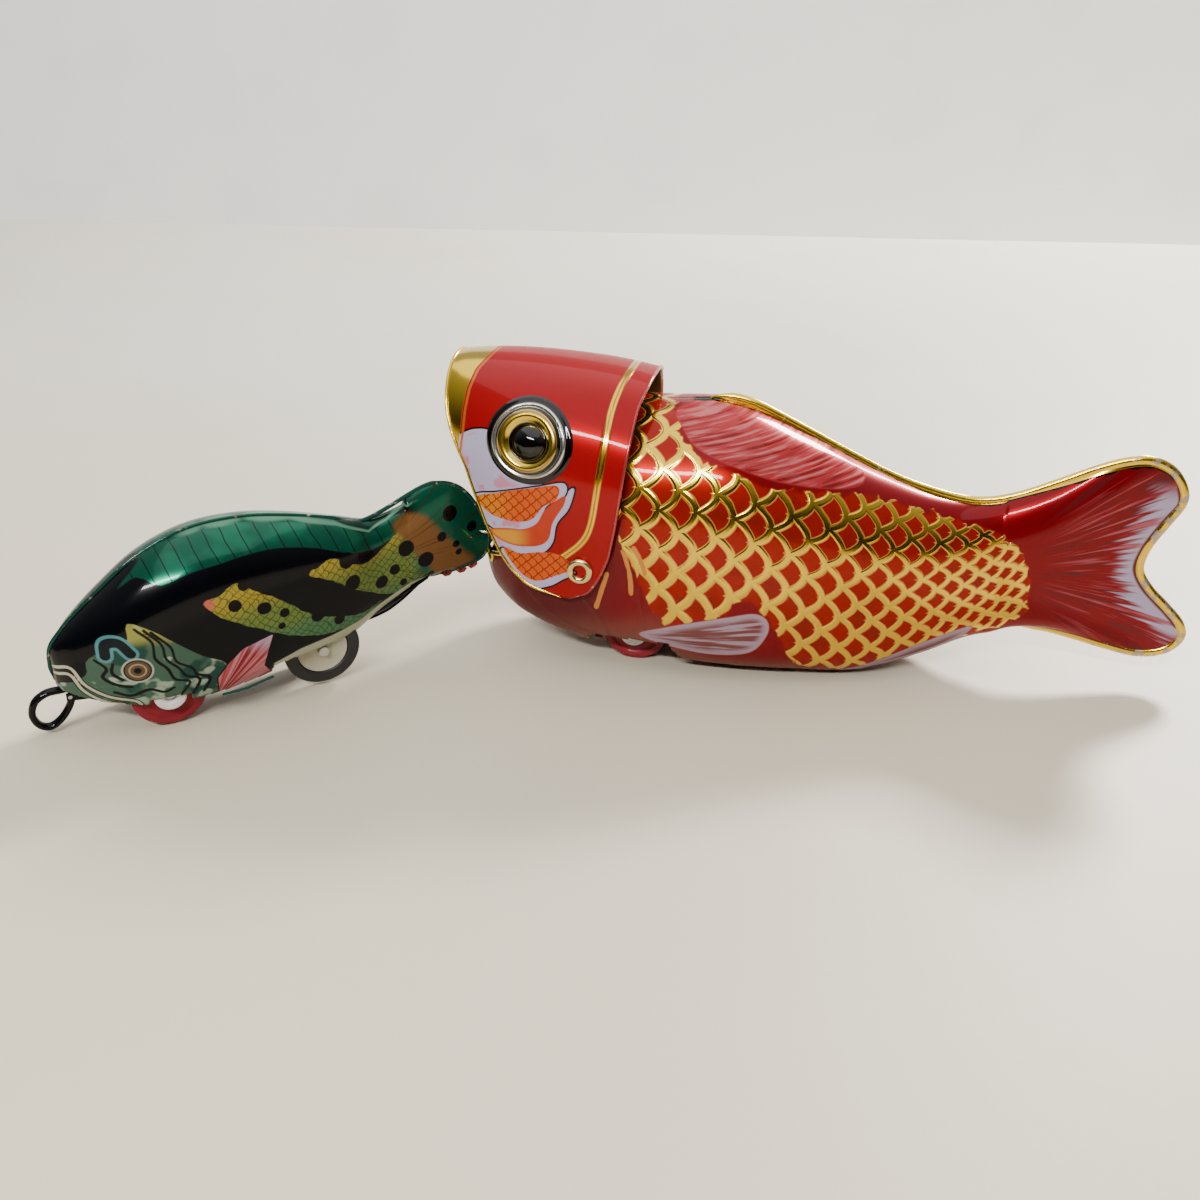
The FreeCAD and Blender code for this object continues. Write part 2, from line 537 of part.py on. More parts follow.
keel = slab(TROUT_BELLY + [(x + 0.3, z + 0.6) for x, z in reversed(TROUT_BELLY)], -2.9, 2.9)
keel_ears = []
for x, z, top in ((size("trout_front_x"), size("trout_front_z"), 10.9),
                  (size("trout_rear_x"), size("trout_rear_z"), 13.4)):
    for low in (-2.9, 2.1):
        ear = Part.makeBox(5, 0.8, top - 5.6, Vector(x - 2.5, low, 5.6))
        keel_ears.append(ear.cut(pin_tool(size("axle_radius") + size("fit_gap"), x, z, -20, 20)))
for low in (-2.3, 1.5):
    hanger = slab([(10.4, 8.2), (8.6, 7.0), (2.8, 7.7), (2.8, 9.3), (8.4, 9.3)], low, low + 0.8)
    keel_ears.append(hanger.cut(pin_tool(size("ring_pin"), size("ring_pin_x"), size("ring_pin_z"), -9, 9)))
belly_strip = keel.multiFuse(keel_ears)
node("trout_belly_plate", feature("trout_belly_form", belly_strip), TROUT)

# ---------------------------------------------------------------- pull ring, tow eye and tow link
def ring_band():
    """A flat strip bent into an oval loop that hangs from the ring pin down to the floor."""
    slope = math.radians(size("ring_slope"))
    along = Vector(-math.cos(slope), 0, -math.sin(slope))
    drop = size("ring_long") - size("ring_strip") - size("ring_pin") - size("fit_gap")
    centre = Vector(size("ring_pin_x"), -size("ring_width") / 2, size("ring_pin_z")) + along * drop
    loops = []
    for inset in (0.0, size("ring_strip")):
        major, minor = size("ring_long") - inset, size("ring_wide") - inset
        across = along.cross(Vector(0, 1, 0))
        oval = Part.Ellipse(centre + along * major, centre + across * minor, centre)
        loops.append(Part.Face(Part.Wire([oval.toShape()])))
    return loops[0].cut(loops[1]).extrude(Vector(0, size("ring_width"), 0))


node("ring_pin", rod("ring_pin_rod", "ring_pin", "-2.4", "2.4", "ring_pin_x", "ring_pin_z"), TROUT)
node("pull_ring", feature("pull_ring_form", ring_band()), TROUT)
node("tow_eye", torus("tow_eye_ring", "tow_radius", "tow_wire", "tow_x", "tow_z", FreeCAD.Rotation()), TROUT)
node("tow_link", torus("tow_link_ring", "link_ring_radius", "link_ring_wire", "tow_x + link_ring_shift",
                       "tow_z", ALONG_Y), TROUT)

# ---------------------------------------------------------------- check and write
doc.recompute()
for item in doc.Objects:
    if "Invalid" in item.State or "Error" in item.State:
        raise RuntimeError("%s failed: %s" % (item.Name, item.State))
os.makedirs("parts", exist_ok=True)
whole = None
for name, item in nodes:
    shape = item.Shape
    if shape.isNull() or not shape.isValid():
        raise RuntimeError("%s has no valid shape" % name)
    shape.exportStep("parts/%s.step" % name)
    bounds = shape.optimalBoundingBox(True, False)
    whole = bounds if whole is None else whole.united(bounds)
    print("%-20s %-22s solids %d volume %.1f" % (name, item.TypeId, len(shape.Solids), shape.Volume))
print("whole", [round(value, 2) for value in (whole.XMin, whole.XMax, whole.YMin, whole.YMax,
                                              whole.ZMin, whole.ZMax)])
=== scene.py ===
import math

import bpy
import numpy as np
from mathutils import Matrix, Vector
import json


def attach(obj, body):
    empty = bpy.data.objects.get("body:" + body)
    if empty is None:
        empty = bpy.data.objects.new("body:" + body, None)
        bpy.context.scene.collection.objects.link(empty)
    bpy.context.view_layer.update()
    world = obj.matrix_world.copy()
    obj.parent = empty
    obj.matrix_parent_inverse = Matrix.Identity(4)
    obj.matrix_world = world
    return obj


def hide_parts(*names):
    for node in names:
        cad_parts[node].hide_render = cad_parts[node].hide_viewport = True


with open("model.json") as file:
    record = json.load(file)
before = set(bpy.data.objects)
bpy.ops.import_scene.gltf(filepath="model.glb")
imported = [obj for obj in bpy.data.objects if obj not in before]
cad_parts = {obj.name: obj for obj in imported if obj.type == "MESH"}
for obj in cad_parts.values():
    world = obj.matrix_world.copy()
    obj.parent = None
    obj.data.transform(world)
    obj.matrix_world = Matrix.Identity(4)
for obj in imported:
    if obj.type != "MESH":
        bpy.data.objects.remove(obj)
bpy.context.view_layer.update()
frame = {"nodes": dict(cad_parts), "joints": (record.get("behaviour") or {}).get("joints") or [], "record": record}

# A tin carp chases a tin trout. Lengths inside a fish are millimetres in that fish's own frame:
# x from its front axle or nose towards its tail, y away from the camera, z up.
MM = 0.001
JOINTS = {joint["name"]: joint for joint in frame["joints"]}
TROUT_TURN = math.radians(40.0)
TROUT_LEAN = math.radians(5.0)
TROUT_AXLE = Vector((23.7, 0.0, 8.6))

front_axle = Vector(JOINTS["carp_front_roll"]["pos_m"])
CARP = Matrix.Translation((front_axle.x, front_axle.y, 0.0)) @ Matrix.Scale(MM, 4)
trout_turned = (Matrix.Rotation(TROUT_TURN, 4, "Z") @ Matrix.Rotation(TROUT_LEAN, 4, "X")
                @ Matrix.Scale(MM, 4))
TROUT = Matrix.Translation(Vector(JOINTS["trout_front_roll"]["pos_m"])
                           - trout_turned @ TROUT_AXLE) @ trout_turned


# ------------------------------------------------------------------ outlines of the two fishes
# Each station: x, ridge height, keel height, half width, height of the widest point.
CARP_STATIONS = [
    (-41.6, 62.0, 22.0, 2.0, 38.0), (-40.2, 62.0, 18.0, 8.5, 38.0), (-36.5, 62.6, 13.2, 14.6, 36.0),
    (-28, 63.2, 8.2, 20.2, 34.0), (-12, 64.0, 3.6, 23.8, 32.0), (4, 64.2, 1.6, 25.2, 31.0),
    (22, 64.0, 0.3, 25.0, 30.0), (40, 57.2, 0.1, 22.4, 28.0), (56, 49.8, 0.4, 18.0, 26.0),
    (70, 44.6, 4.6, 12.6, 25.0), (82, 43.2, 9.4, 7.6, 26.0), (94, 47.0, 11.4, 4.4, 28.0),
]
HEAD_STATIONS = [
    (-53, 71.6, 12.0, 54.0), (-50, 72.6, 13.8, 53.0), (-44, 73.8, 17.6, 50.0), (-34, 74.2, 21.6, 47.0),
    (-22, 73.8, 24.4, 44.0), (-8, 72.4, 26.2, 42.0), (4, 70.0, 27.2, 42.0),
]
TROUT_STATIONS = [
    (1.2, 20.0, 12.0, 1.4, 16.0), (2.6, 22.2, 10.0, 3.6, 16.4), (6, 26.2, 7.4, 6.8, 17.6),
    (13.5, 32.6, 4.6, 10.6, 20.0), (23, 39.6, 2.4, 12.8, 23.0), (34, 43.8, 3.0, 13.4, 26.0),
    (46, 44.4, 5.6, 12.8, 28.0), (58, 42.4, 8.4, 11.0, 28.6), (68, 39.8, 10.6, 8.6, 28.6),
    (76, 38.2, 14.6, 5.2, 28.6), (86, 41.2, 19.4, 3.2, 30.0),
]
BACK_POWER = 2.3
BELLY_POWER = 4.0


def cubic(table, at):
    """Smooth values of a table's columns at x positions; the first column is x."""
    table = np.asarray(table, float)
    knots = table[:, 0]
    at = np.asarray(at, float)
    low = np.clip(np.searchsorted(knots, at, "right") - 1, 0, len(knots) - 2)
    slopes = np.zeros_like(table)
    slopes[1:-1] = (table[2:] - table[:-2]) / (knots[2:] - knots[:-2])[:, None]
    slopes[0] = (table[1] - table[0]) / (knots[1] - knots[0])
    slopes[-1] = (table[-1] - table[-2]) / (knots[-1] - knots[-2])
    span = knots[low + 1] - knots[low]
    share = ((at - knots[low]) / span)[..., None]
    span = span[..., None]
    return ((2 * share ** 3 - 3 * share ** 2 + 1) * table[low]
            + (share ** 3 - 2 * share ** 2 + share) * span * slopes[low]
            + (3 * share ** 2 - 2 * share ** 3) * table[low + 1]
            + (share ** 3 - share ** 2) * span * slopes[low + 1])[..., 1:]


def smooth_line(points, count, closed=False):
    """A Catmull-Rom line through given points, evenly spaced along its length."""
    points = np.asarray(points, float)
    if closed:
        points = np.vstack([points, points[:1]])
    knots = np.arange(len(points), dtype=float)
    table = np.column_stack([knots, points])
    if closed:
        table = np.vstack([np.r_[-1.0, points[-2]], table, np.r_[len(points), points[1]]])
    fine = cubic(table, np.linspace(0, knots[-1], 40 * len(points)))
    steps = np.r_[0, np.cumsum(np.linalg.norm(np.diff(fine, axis=0), axis=1))]
    at = np.linspace(0, steps[-1], count)
    return np.column_stack([np.interp(at, steps, fine[:, column]) for column in range(fine.shape[1])])


def section(values, count):
    """Half sections, ridge to keel, spaced evenly; values are ridge, keel, half width and middle."""
    angle = np.linspace(0, math.pi, 160)
    power = np.where(angle < math.pi / 2, BACK_POWER, BELLY_POWER)
    across = np.abs(np.sin(angle)) ** (2 / power)
    upright = np.abs(np.cos(angle)) ** (2 / power)
    rows = []
    girths = []
    for top, low, half, middle in values:
        y = half * across
        z = middle + np.where(angle < math.pi / 2, top - middle, low - middle) * upright
        length = np.r_[0, np.cumsum(np.hypot(np.diff(y), np.diff(z)))]
        at = np.linspace(0, length[-1], count)
        rows.append(np.column_stack([np.interp(at, length, y), np.interp(at, length, z)]))
        girths.append(at)
    return np.array(rows), np.array(girths)


# ------------------------------------------------------------------ mesh helpers
def build(name, place, points, faces, body, fields=None, smooth=True, nodes=()):
    """Makes a piece from points in a fish's own frame."""
    mesh = bpy.data.meshes.new(name)
    points = np.asarray(points, float)
    matrix = np.array(place)
    world = points @ matrix[:3, :3].T + matrix[:3, 3]
    mesh.from_pydata(world.tolist(), [], [tuple(face) for face in faces])
    mesh.validate()
    for field, values in (fields or {}).items():
        layer = mesh.attributes.new(field, "FLOAT", "POINT")
        layer.data.foreach_set("value", np.asarray(values, np.float32).ravel())
    if smooth:
        mesh.shade_smooth()
    piece = bpy.data.objects.new(name, mesh)
    bpy.context.scene.collection.objects.link(piece)
    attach(piece, body)
    if nodes:
        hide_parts(*nodes)
    return piece


def grid_faces(rows, columns, close_columns=False, flip=False, start=0):
    faces = []
    for row in range(rows - 1):
        for column in range(columns if close_columns else columns - 1):
            after = (column + 1) % columns
            quad = [row * columns + column, row * columns + after,
                    (row + 1) * columns + after, (row + 1) * columns + column]
            quad = [start + corner for corner in quad]
            faces.append(quad[::-1] if flip else quad)
    return faces


def thicken(piece, thickness, offset=-1.0):
    """Gives a skin its tin thickness; the inside and the cut edge take the next material slots."""
    wall = piece.modifiers.new("tin", "SOLIDIFY")
    wall.thickness = thickness * MM
    wall.offset = offset
    wall.material_offset = 1
    wall.material_offset_rim = 2
    wall.use_even_offset = False


def lathe(profile, segments=72):
    """Points and faces of a closed profile of (radius, height along y), turned about the Y axis."""
    profile = np.asarray(profile, float)
    angles = np.linspace(0, 2 * math.pi, segments, endpoint=False)
    points = [[(radius * math.cos(angle), height, radius * math.sin(angle)) for angle in angles]
              for radius, height in profile]
    rows = len(profile) + 1
    points = np.array(points).reshape(-1, 3)
    faces = grid_faces(rows, segments, close_columns=True)
    count = len(points)
    faces = [[corner % count for corner in face] for face in faces]
    return points, faces


def rounded(corners, radius, steps=4):
    """A closed profile with its corners rounded."""
    corners = [Vector(corner) for corner in corners]
    outline = []
    for index, corner in enumerate(corners):
        before = (corners[index - 1] - corner)
        after = (corners[(index + 1) % len(corners)] - corner)
        reach = min(radius, before.length * 0.45, after.length * 0.45)
        first = corner + before.normalized() * reach
        last = corner + after.normalized() * reach
        for step in range(steps + 1):
            share = step / steps
            outline.append(((1 - share) ** 2 * first + 2 * share * (1 - share) * corner
                            + share ** 2 * last)[:])
    return outline


def tube(path, radii, segments=12, closed=False, up=(0, 1, 0)):
    """A round or oval bar along a path; radii are (across, up) in millimetres."""
    path = np.asarray(path, float)
    count = len(path)
    ahead = np.roll(path, -1, axis=0) - np.roll(path, 1, axis=0)
    if not closed:
        ahead[0] = path[1] - path[0]
        ahead[-1] = path[-1] - path[-2]
    ahead /= np.linalg.norm(ahead, axis=1)[:, None]
    up = np.asarray(up, float)
    ups = np.broadcast_to(up, path.shape) if up.ndim == 1 else up
    side = np.cross(ahead, ups)
    side /= np.linalg.norm(side, axis=1)[:, None]
    lift = np.cross(side, ahead)
    angles = np.linspace(0, 2 * math.pi, segments, endpoint=False)
    radii = np.broadcast_to(np.asarray(radii, float), (count, 2))
    points = (path[:, None, :] + side[:, None, :] * (np.cos(angles)[None, :, None] * radii[:, 0, None, None])
              + lift[:, None, :] * (np.sin(angles)[None, :, None] * radii[:, 1, None, None]))
    points = points.reshape(-1, 3)
    faces = grid_faces(count, segments, close_columns=True)
    if closed:
        faces += [[(count - 1) * segments + column, (count - 1) * segments + (column + 1) % segments,
                   (column + 1) % segments, column] for column in range(segments)]
    else:
        faces.append(list(range(segments))[::-1])
        faces.append([(count - 1) * segments + column for column in range(segments)])
    return points, faces


def join(*parts):
    points, faces, start = [], [], 0
    for part_points, part_faces in parts:
        points.append(part_points)
        faces += [[corner + start for corner in face] for face in part_faces]
        start += len(part_points)
    return np.vstack(points), faces


# ------------------------------------------------------------------ carp body
def carp_section(x, count=121):
    rows, girth = section(cubic(CARP_STATIONS, x), count)
    return rows, girth


TAIL_START = 86.0
TAIL_TOP = [(86, 44.6), (97.4, 49.2), (105.6, 53), (111.7, 55.3), (116.4, 55.9), (120.8, 54.0), (123.8, 50.6)]
TAIL_END = [(123.8, 50.6), (124.9, 46.6), (122.0, 41), (119.0, 35), (118.0, 29.2), (121.0, 24.4),
            (125.8, 19.8), (129.6, 15.8), (130.7, 12.2)]
TAIL_LOW = [(86, 10.2), (92, 11.9), (100, 11.6), (107, 10.2), (114, 8.6), (121, 7.4), (127, 8.4),
            (130.7, 12.2)]
BODY_FRONT = [(70, -18), (48, -20), (38, -21.4), (32, -24), (28.6, -29), (26.6, -34), (25.0, -38.6),
              (23.6, -41.4)]
GIRTH_STEPS = 151
BODY_STEPS = 211
TAIL_STEPS = 81


def front_edge(z, table):
    """x of a front or rear edge at a height, from (z, x) pairs."""
    table = sorted(table)
    return np.interp(z, [pair[0] for pair in table], [pair[1] for pair in table])


def trimmed(section_at, steps_along, count, start_edge, end_edge, first_guess, last_guess):
    """A grid of a lofted skin between two trimming edges that depend on height."""
    share = np.linspace(0, 1, count)
    starts = np.full(count, first_guess, float)
    ends = np.full(count, last_guess, float)
    rows_index = np.arange(count)
    for _ in range(24):
        rows, girth = section_at(starts, count)
        starts += 0.5 * (start_edge(rows[rows_index, rows_index, 1]) - starts)
        rows, girth = section_at(ends, count)
        ends += 0.5 * (end_edge(rows[rows_index, rows_index, 1]) - ends)
    along = np.linspace(0, 1, steps_along)
    grid = np.zeros((steps_along, count, 3))
    girths = np.zeros((steps_along, count))
    for step, part in enumerate(along):
        x = starts + (ends - starts) * part
        rows, girth = section_at(x, count)
        grid[step, :, 0] = x
        grid[step, :, 1] = rows[rows_index, rows_index, 0]
        grid[step, :, 2] = rows[rows_index, rows_index, 1]
        girths[step] = girth[rows_index, rows_index]
    return grid, girths


def coons(top, low, left, right):
    """A patch between four edges; top and low run along, left and right run down."""
    along = np.linspace(0, 1, len(top))[:, None, None]
    down = np.linspace(0, 1, len(left))[None, :, None]
    return ((1 - down) * top[:, None] + down * low[:, None] + (1 - along) * left[None] + along * right[None]
            - (1 - along) * (1 - down) * left[0] - (1 - along) * down * left[-1]
            - along * (1 - down) * right[0] - along * down * right[-1])


def carp_half_grid():
    grid, girth = trimmed(carp_section, BODY_STEPS, GIRTH_STEPS,
                          lambda z: front_edge(z, BODY_FRONT), lambda z: np.full_like(z, TAIL_START),
                          -20.0, TAIL_START)
    root = grid[-1]
    top = smooth_line(TAIL_TOP, TAIL_STEPS)
    low = smooth_line(TAIL_LOW, TAIL_STEPS)
    end = smooth_line(TAIL_END, GIRTH_STEPS)
    top[0] = root[0, [0, 2]]
    low[0] = root[-1, [0, 2]]
    tail = coons(top, low, root[:, [0, 2]], end)
    along = np.linspace(0, 1, TAIL_STEPS)[:, None]
    down = np.linspace(0, 1, GIRTH_STEPS)[None, :]
    half = root[:, 1].max()
    plump = np.sin(math.pi * down) ** 0.8
    width = (half - 1.2) * (1 - along) ** 1.6 + 1.2 * (1 - along ** 3)
    y = root[None, :, 1] * (1 - along) ** 2 + (1 - (1 - along) ** 2) * (0.45 + plump * width)
    tail = np.dstack([tail[..., 0], y, tail[..., 1]])
    tail_girth = np.vstack([girth[-1] for _ in range(TAIL_STEPS)]) * (1 + 0.3 * along)
    return np.concatenate([grid, tail[1:]]), np.concatenate([girth, tail_girth[1:]])


def belly_edge(x):
    """Half width of the carp's belly opening."""
    return np.interp(x, [-11, 5, 37, 52, 61], [11.8, 14.4, 14.4, 13.6, 11.0])


def mirror(grid, side):
    return grid * np.array([1, side, 1])


def drop_faces(faces, points, hidden):
    """Faces without those whose middle lies where hidden(x, y, z) is true."""
    corners = np.array(faces)
    middle = points[corners].mean(axis=1)
    keep = ~hidden(middle[:, 0], np.abs(middle[:, 1]), middle[:, 2])
    return corners[keep].tolist()


def carp_open(x, y, z):
    """Where the carp's shells are cut away: the belly opening and the slots of the front wheels."""
    belly = (x > -11) & (x < 61) & (y < belly_edge(x)) & (z < 12)
    arch = z < np.interp(x, [-16, -9.8, 9.8, 16], [-2, 9.4, 9.4, -2])
    return belly | arch


carp_grid, carp_girth = carp_half_grid()
carp_shells = {}
for side, label in ((-1, "left"), (1, "right")):
    grid = mirror(carp_grid, side)
    points = grid.reshape(-1, 3)
    faces = grid_faces(*grid.shape[:2], flip=side > 0)
    faces = drop_faces(faces, points, carp_open)
    fields = {"along": points[:, 0], "girth": carp_girth.ravel(), "height": points[:, 2]}
    carp_shells[label] = build("carp_%s_body" % label, CARP, points, faces, "carp_body",
                               fields, nodes=("carp_%s_shell" % label,))

# ------------------------------------------------------------------ carp head
HEAD_FRONT = [(80, -47.2), (74, -47.4), (70, -47.4), (66, -47.2), (62, -46.6), (58, -45.3), (54, -43.4),
              (50, -41.2),
              (43, -38.6), (36, -35.8), (30, -32.6), (26, -29.6), (22.6, -25.6), (20.8, -20.5), (20.2, -16.4)]
HEAD_REAR = [(80, 2.6), (72, 2.4), (66, 0.4), (59, -0.4), (49, -1.7), (40, -3.0), (32, -4.6), (27, -6.6),
             (22.8, -9.2), (20.9, -12.0), (20.2, -14.4)]
HEAD_FOOT = 20.2


def head_section(x, count):
    """Half arches of the head, from the top down to its foot."""
    values = cubic(HEAD_STATIONS, x)
    angle = np.linspace(0, math.pi / 2, 90)
    across = np.sin(angle) ** (2 / BACK_POWER)
    upright = np.cos(angle) ** (2 / BACK_POWER)
    rows, girths = [], []
    for top, half, middle in values:
        y = np.r_[half * across, half]
        z = np.r_[middle + (top - middle) * upright, HEAD_FOOT]
        length = np.r_[0, np.cumsum(np.hypot(np.diff(y), np.diff(z)))]
        at = np.linspace(0, length[-1], count)
        rows.append(np.column_stack([np.interp(at, length, y), np.interp(at, length, z)]))
        girths.append(at)
    return np.array(rows), np.array(girths)


HEAD_GIRTH_STEPS = 141
HEAD_ALONG_STEPS = 111
head_half, head_girth = trimmed(head_section, HEAD_ALONG_STEPS, HEAD_GIRTH_STEPS,
                                lambda z: front_edge(z, HEAD_FRONT), lambda z: front_edge(z, HEAD_REAR),
                                -45.0, 0.0)
head_grid = np.concatenate([mirror(head_half, -1)[:, :0:-1], head_half], axis=1)
head_fields = {"along": head_grid[..., 0].ravel(), "height": head_grid[..., 2].ravel(),
               "girth": np.concatenate([head_girth[:, :0:-1], head_girth], axis=1).ravel()}
head_skin = build("carp_head", CARP, head_grid.reshape(-1, 3), grid_faces(*head_grid.shape[:2], flip=True),
                  "head",
                  head_fields, nodes=("head_shell",))

# ------------------------------------------------------------------ trout body
TROUT_TAIL_START = 84.0
TROUT_TAIL_TOP = [(84, 42.0), (88.5, 44.2), (93.4, 44.6), (97.4, 43.2), (100.4, 40.6)]
TROUT_TAIL_END = [(100.4, 40.6), (103, 36.6), (105.2, 31.6), (106.3, 27), (105.4, 23.6), (103, 21.6)]
TROUT_TAIL_LOW = [(84, 18.8), (88, 19.6), (92.2, 20.0), (97, 20.2), (103, 21.6)]


def trout_section(x, count):
    return section(cubic(TROUT_STATIONS, x), count)


def trout_half_grid(steps_along, count, tail_steps):
    grid, girth = trimmed(trout_section, steps_along, count, lambda z: np.full_like(z, 1.3),
                          lambda z: np.full_like(z, TROUT_TAIL_START), 1.3, TROUT_TAIL_START)
    root = grid[-1]
    top = smooth_line(TROUT_TAIL_TOP, tail_steps)
    low = smooth_line(TROUT_TAIL_LOW, tail_steps)
    end = smooth_line(TROUT_TAIL_END, count)
    top[0] = root[0, [0, 2]]
    low[0] = root[-1, [0, 2]]
    tail = coons(top, low, root[:, [0, 2]], end)
    along = np.linspace(0, 1, tail_steps)[:, None]
    plump = np.sin(math.pi * np.linspace(0, 1, count)[None, :]) ** 0.8
    width = (root[:, 1].max() - 1.0) * (1 - along) ** 1.6 + 1.0 * (1 - along ** 3)
    y = root[None, :, 1] * (1 - along) ** 2 + (1 - (1 - along) ** 2) * (0.35 + plump * width)
    tail = np.dstack([tail[..., 0], y, tail[..., 1]])
    tail_girth = np.vstack([girth[-1] for _ in range(tail_steps)])
    return np.concatenate([grid, tail[1:]]), np.concatenate([girth, tail_girth[1:]])


TROUT_EDGE = [(1, 12), (2, 11.4), (6, 10.4), (12, 8.8), (19, 7.5), (19.4, 9.2), (28, 9.2), (28.4, 7.2),
              (34, 7.2),
              (46.5, 8.6), (47.5, 11),
              (58, 11.4), (68, 12.2), (76, 14.5), (84, 18)]


def trout_open(x, y, z):
    """Below the trout's lower edge, except along the tail's own seam."""
    edge = np.interp(x, *zip(*TROUT_EDGE))
    return (x > 1.2) & (x < 84) & (z < edge)


trout_grid, trout_girth = trout_half_grid(201, 131, 51)
trout_shells = {}
for side, label in ((-1, "left"), (1, "right")):
    grid = mirror(trout_grid, side)
    points = grid.reshape(-1, 3)
    faces = drop_faces(grid_faces(*grid.shape[:2], flip=side > 0), points, trout_open)
    fields = {"along": points[:, 0], "girth": trout_girth.ravel(), "height": points[:, 2]}
    trout_shells[label] = build("trout_%s_body" % label, TROUT, points, faces, "trout",
                                fields, nodes=("trout_%s_shell" % label,))

# ------------------------------------------------------------------ printed areas, as fields on the skins
def area(x, z, outline, smooth=90):
    """Millimetres inside (+) or outside (-) an outline in a fish's side view."""
    outline = smooth_line(outline, smooth, closed=True)[:-1] if smooth else np.asarray(outline, float)
    first, last = outline, np.roll(outline, -1, axis=0)
    inside = np.zeros(len(x), bool)
    nearest = np.full(len(x), 1e9)
    for (ax, az), (bx, bz) in zip(first, last):
        run = np.array([bx - ax, bz - az])
        share = np.clip(((x - ax) * run[0] + (z - az) * run[1]) / max(run @ run, 1e-9), 0, 1)
        nearest = np.minimum(nearest, np.hypot(x - ax - share * run[0], z - az - share * run[1]))
        crosses = ((az > z) != (bz > z)) & (x < (bx - ax) * (z - az) / (bz - az + 1e-12) + ax)
        inside ^= crosses
    return np.where(inside, nearest, -nearest)


def line_gap(x, z, *lines):
    """Distance to the nearest of some smooth lines in a fish's side view."""
    nearest = np.full(len(x), 1e9)
    for line in lines:
        line = smooth_line(line, 12 * len(line))
        for (ax, az), (bx, bz) in zip(line[:-1], line[1:]):
            run = np.array([bx - ax, bz - az])
            share = np.clip(((x - ax) * run[0] + (z - az) * run[1]) / max(run @ run, 1e-9), 0, 1)
            nearest = np.minimum(nearest, np.hypot(x - ax - share * run[0], z - az - share * run[1]))
    return nearest


def spots(x, z, places):
    """Millimetres inside (+) round spots given as (x, z, radius)."""
    return np.max([radius - np.hypot(x - at_x, z - at_z) for at_x, at_z, radius in places], axis=0)


def add_fields(piece, fields):
    for field, values in fields.items():
        layer = piece.data.attributes.new(field, "FLOAT", "POINT")
        layer.data.foreach_set("value", np.asarray(values, np.float32).ravel())


NET = [(-4, 64.5), (2, 66), (8.4, 63.4), (10.5, 59.4), (20.2, 53.6), (34, 49.4), (53, 47), (66.2, 43),
       (81.2, 38.6),
       (90, 34), (93.2, 27), (93, 17), (86, 12.6), (75, 9.4), (63.3, 7.2), (57, 4), (50, 3), (40, 6),
       (36, 14.5),
       (28, 23.5), (22.3, 18.2), (17, 17.2), (9.7, 15.2), (6, 19), (2.8, 26), (-1, 34), (-4, 45)]
DORSAL = [(8.1, 63.6), (10.1, 61.2), (14.1, 57.7), (21.7, 54.7), (33.9, 50.9), (46.6, 48.8), (52.4, 49),
          (52.4, 50.8),
          (45.9, 54.6), (39, 58.4), (30, 62.6), (23.9, 64.6), (16, 65)]
PECTORAL = [(2.5, 11.6), (9, 14.4), (15.7, 16.5), (24, 18.6), (30.5, 19.8), (33.6, 17.6), (33.2, 13.5),
            (29.2, 8.6), (19.8, 7.3), (9.5, 9.0)]
ANAL = [(50, 1.6), (56, 4), (61.8, 6.6), (70, 10.2), (78, 13), (82, 13.6), (78, 9), (70, 4), (62, 0.6)]
GILLS = [[(-1.3, 33.5), (0.3, 28), (0.8, 22.8)], [(-5.2, 27.2), (-6.6, 22.6), (-8.0, 17.9)],
         [(1.3, 34.5), (3, 31.5), (4.1, 28.4)]]
FOLDS = [[(-30, 27), (-27, 20), (-18, 12), (-6, 8)], [(-12, 20.6), (-7, 14), (-4, 8)],
         [(2, 24), (3.6, 16), (4.4, 9)]]


def carp_fields(points, girth):
    x, z = points[:, 0], points[:, 2]
    pitch = np.array([(-45, 4.9), (0, 4.6), (40, 4.2), (70, 3.4), (96, 2.6), (135, 2.6)])
    steps = np.linspace(-45, 135, 400)
    phase = np.cumsum(1 / np.interp(steps, *pitch.T)) * (steps[1] - steps[0])
    rows = np.interp(x, [-45, 0, 30, 60, 96], [9.6, 9.8, 9.8, 9.4, 9.0])
    stations = np.linspace(-40, 93, 40)
    lengths = section(cubic(CARP_STATIONS, stations), 60)[1][:, -1]
    whole = np.interp(x, stations, lengths)
    end = smooth_line(TAIL_END, 60)
    return {"net": area(x, z, NET), "dorsal": area(x, z, DORSAL), "pectoral": area(x, z, PECTORAL),
            "anal": area(x, z, ANAL), "gills": line_gap(x, z, *GILLS), "folds": line_gap(x, z, *FOLDS),
            "column": np.interp(x, steps, phase), "row": girth / whole * rows,
            "row_size": whole / rows, "column_size": np.interp(x, *pitch.T),
            "tail_gap": line_gap(x, z, end[::6])}


LIP_LINE = [(76.5, -36.6), (74.4, -38.0), (71.5, -40.4), (67.6, -41.6), (62.7, -42.2), (58.4, -42.5),
            (54.3, -43.1),
            (50, -44)]
CHEEK = [(-44, 56), (-42, 57.6), (-38.3, 59.2), (-34.1, 59), (-33, 53.9), (-30.3, 49.8), (-26, 48.3),
         (-20.7, 48.9), (-23, 46.9), (-29.3, 45.9), (-37.8, 43.7), (-40.0, 46.4), (-41.4, 48.4),
         (-43.4, 51.2)]
SCALES_HIGH = [(-38.4, 42.6), (-33, 44.6), (-29.3, 45.8), (-23.5, 47.3), (-17, 48.6), (-17.3, 45.2),
               (-20.8, 42.9),
               (-23.8, 39.3), (-28.8, 38.2), (-34.9, 39.2)]
BAND_HIGH = [(-38.8, 43), (-33, 44.8), (-29, 45.9), (-22, 47.8), (-15.4, 49.4), (-15.2, 46.4), (-19.8, 43.2),
             (-21.8, 38.2), (-26.4, 35.8), (-33.6, 35.4), (-37.4, 38.4)]
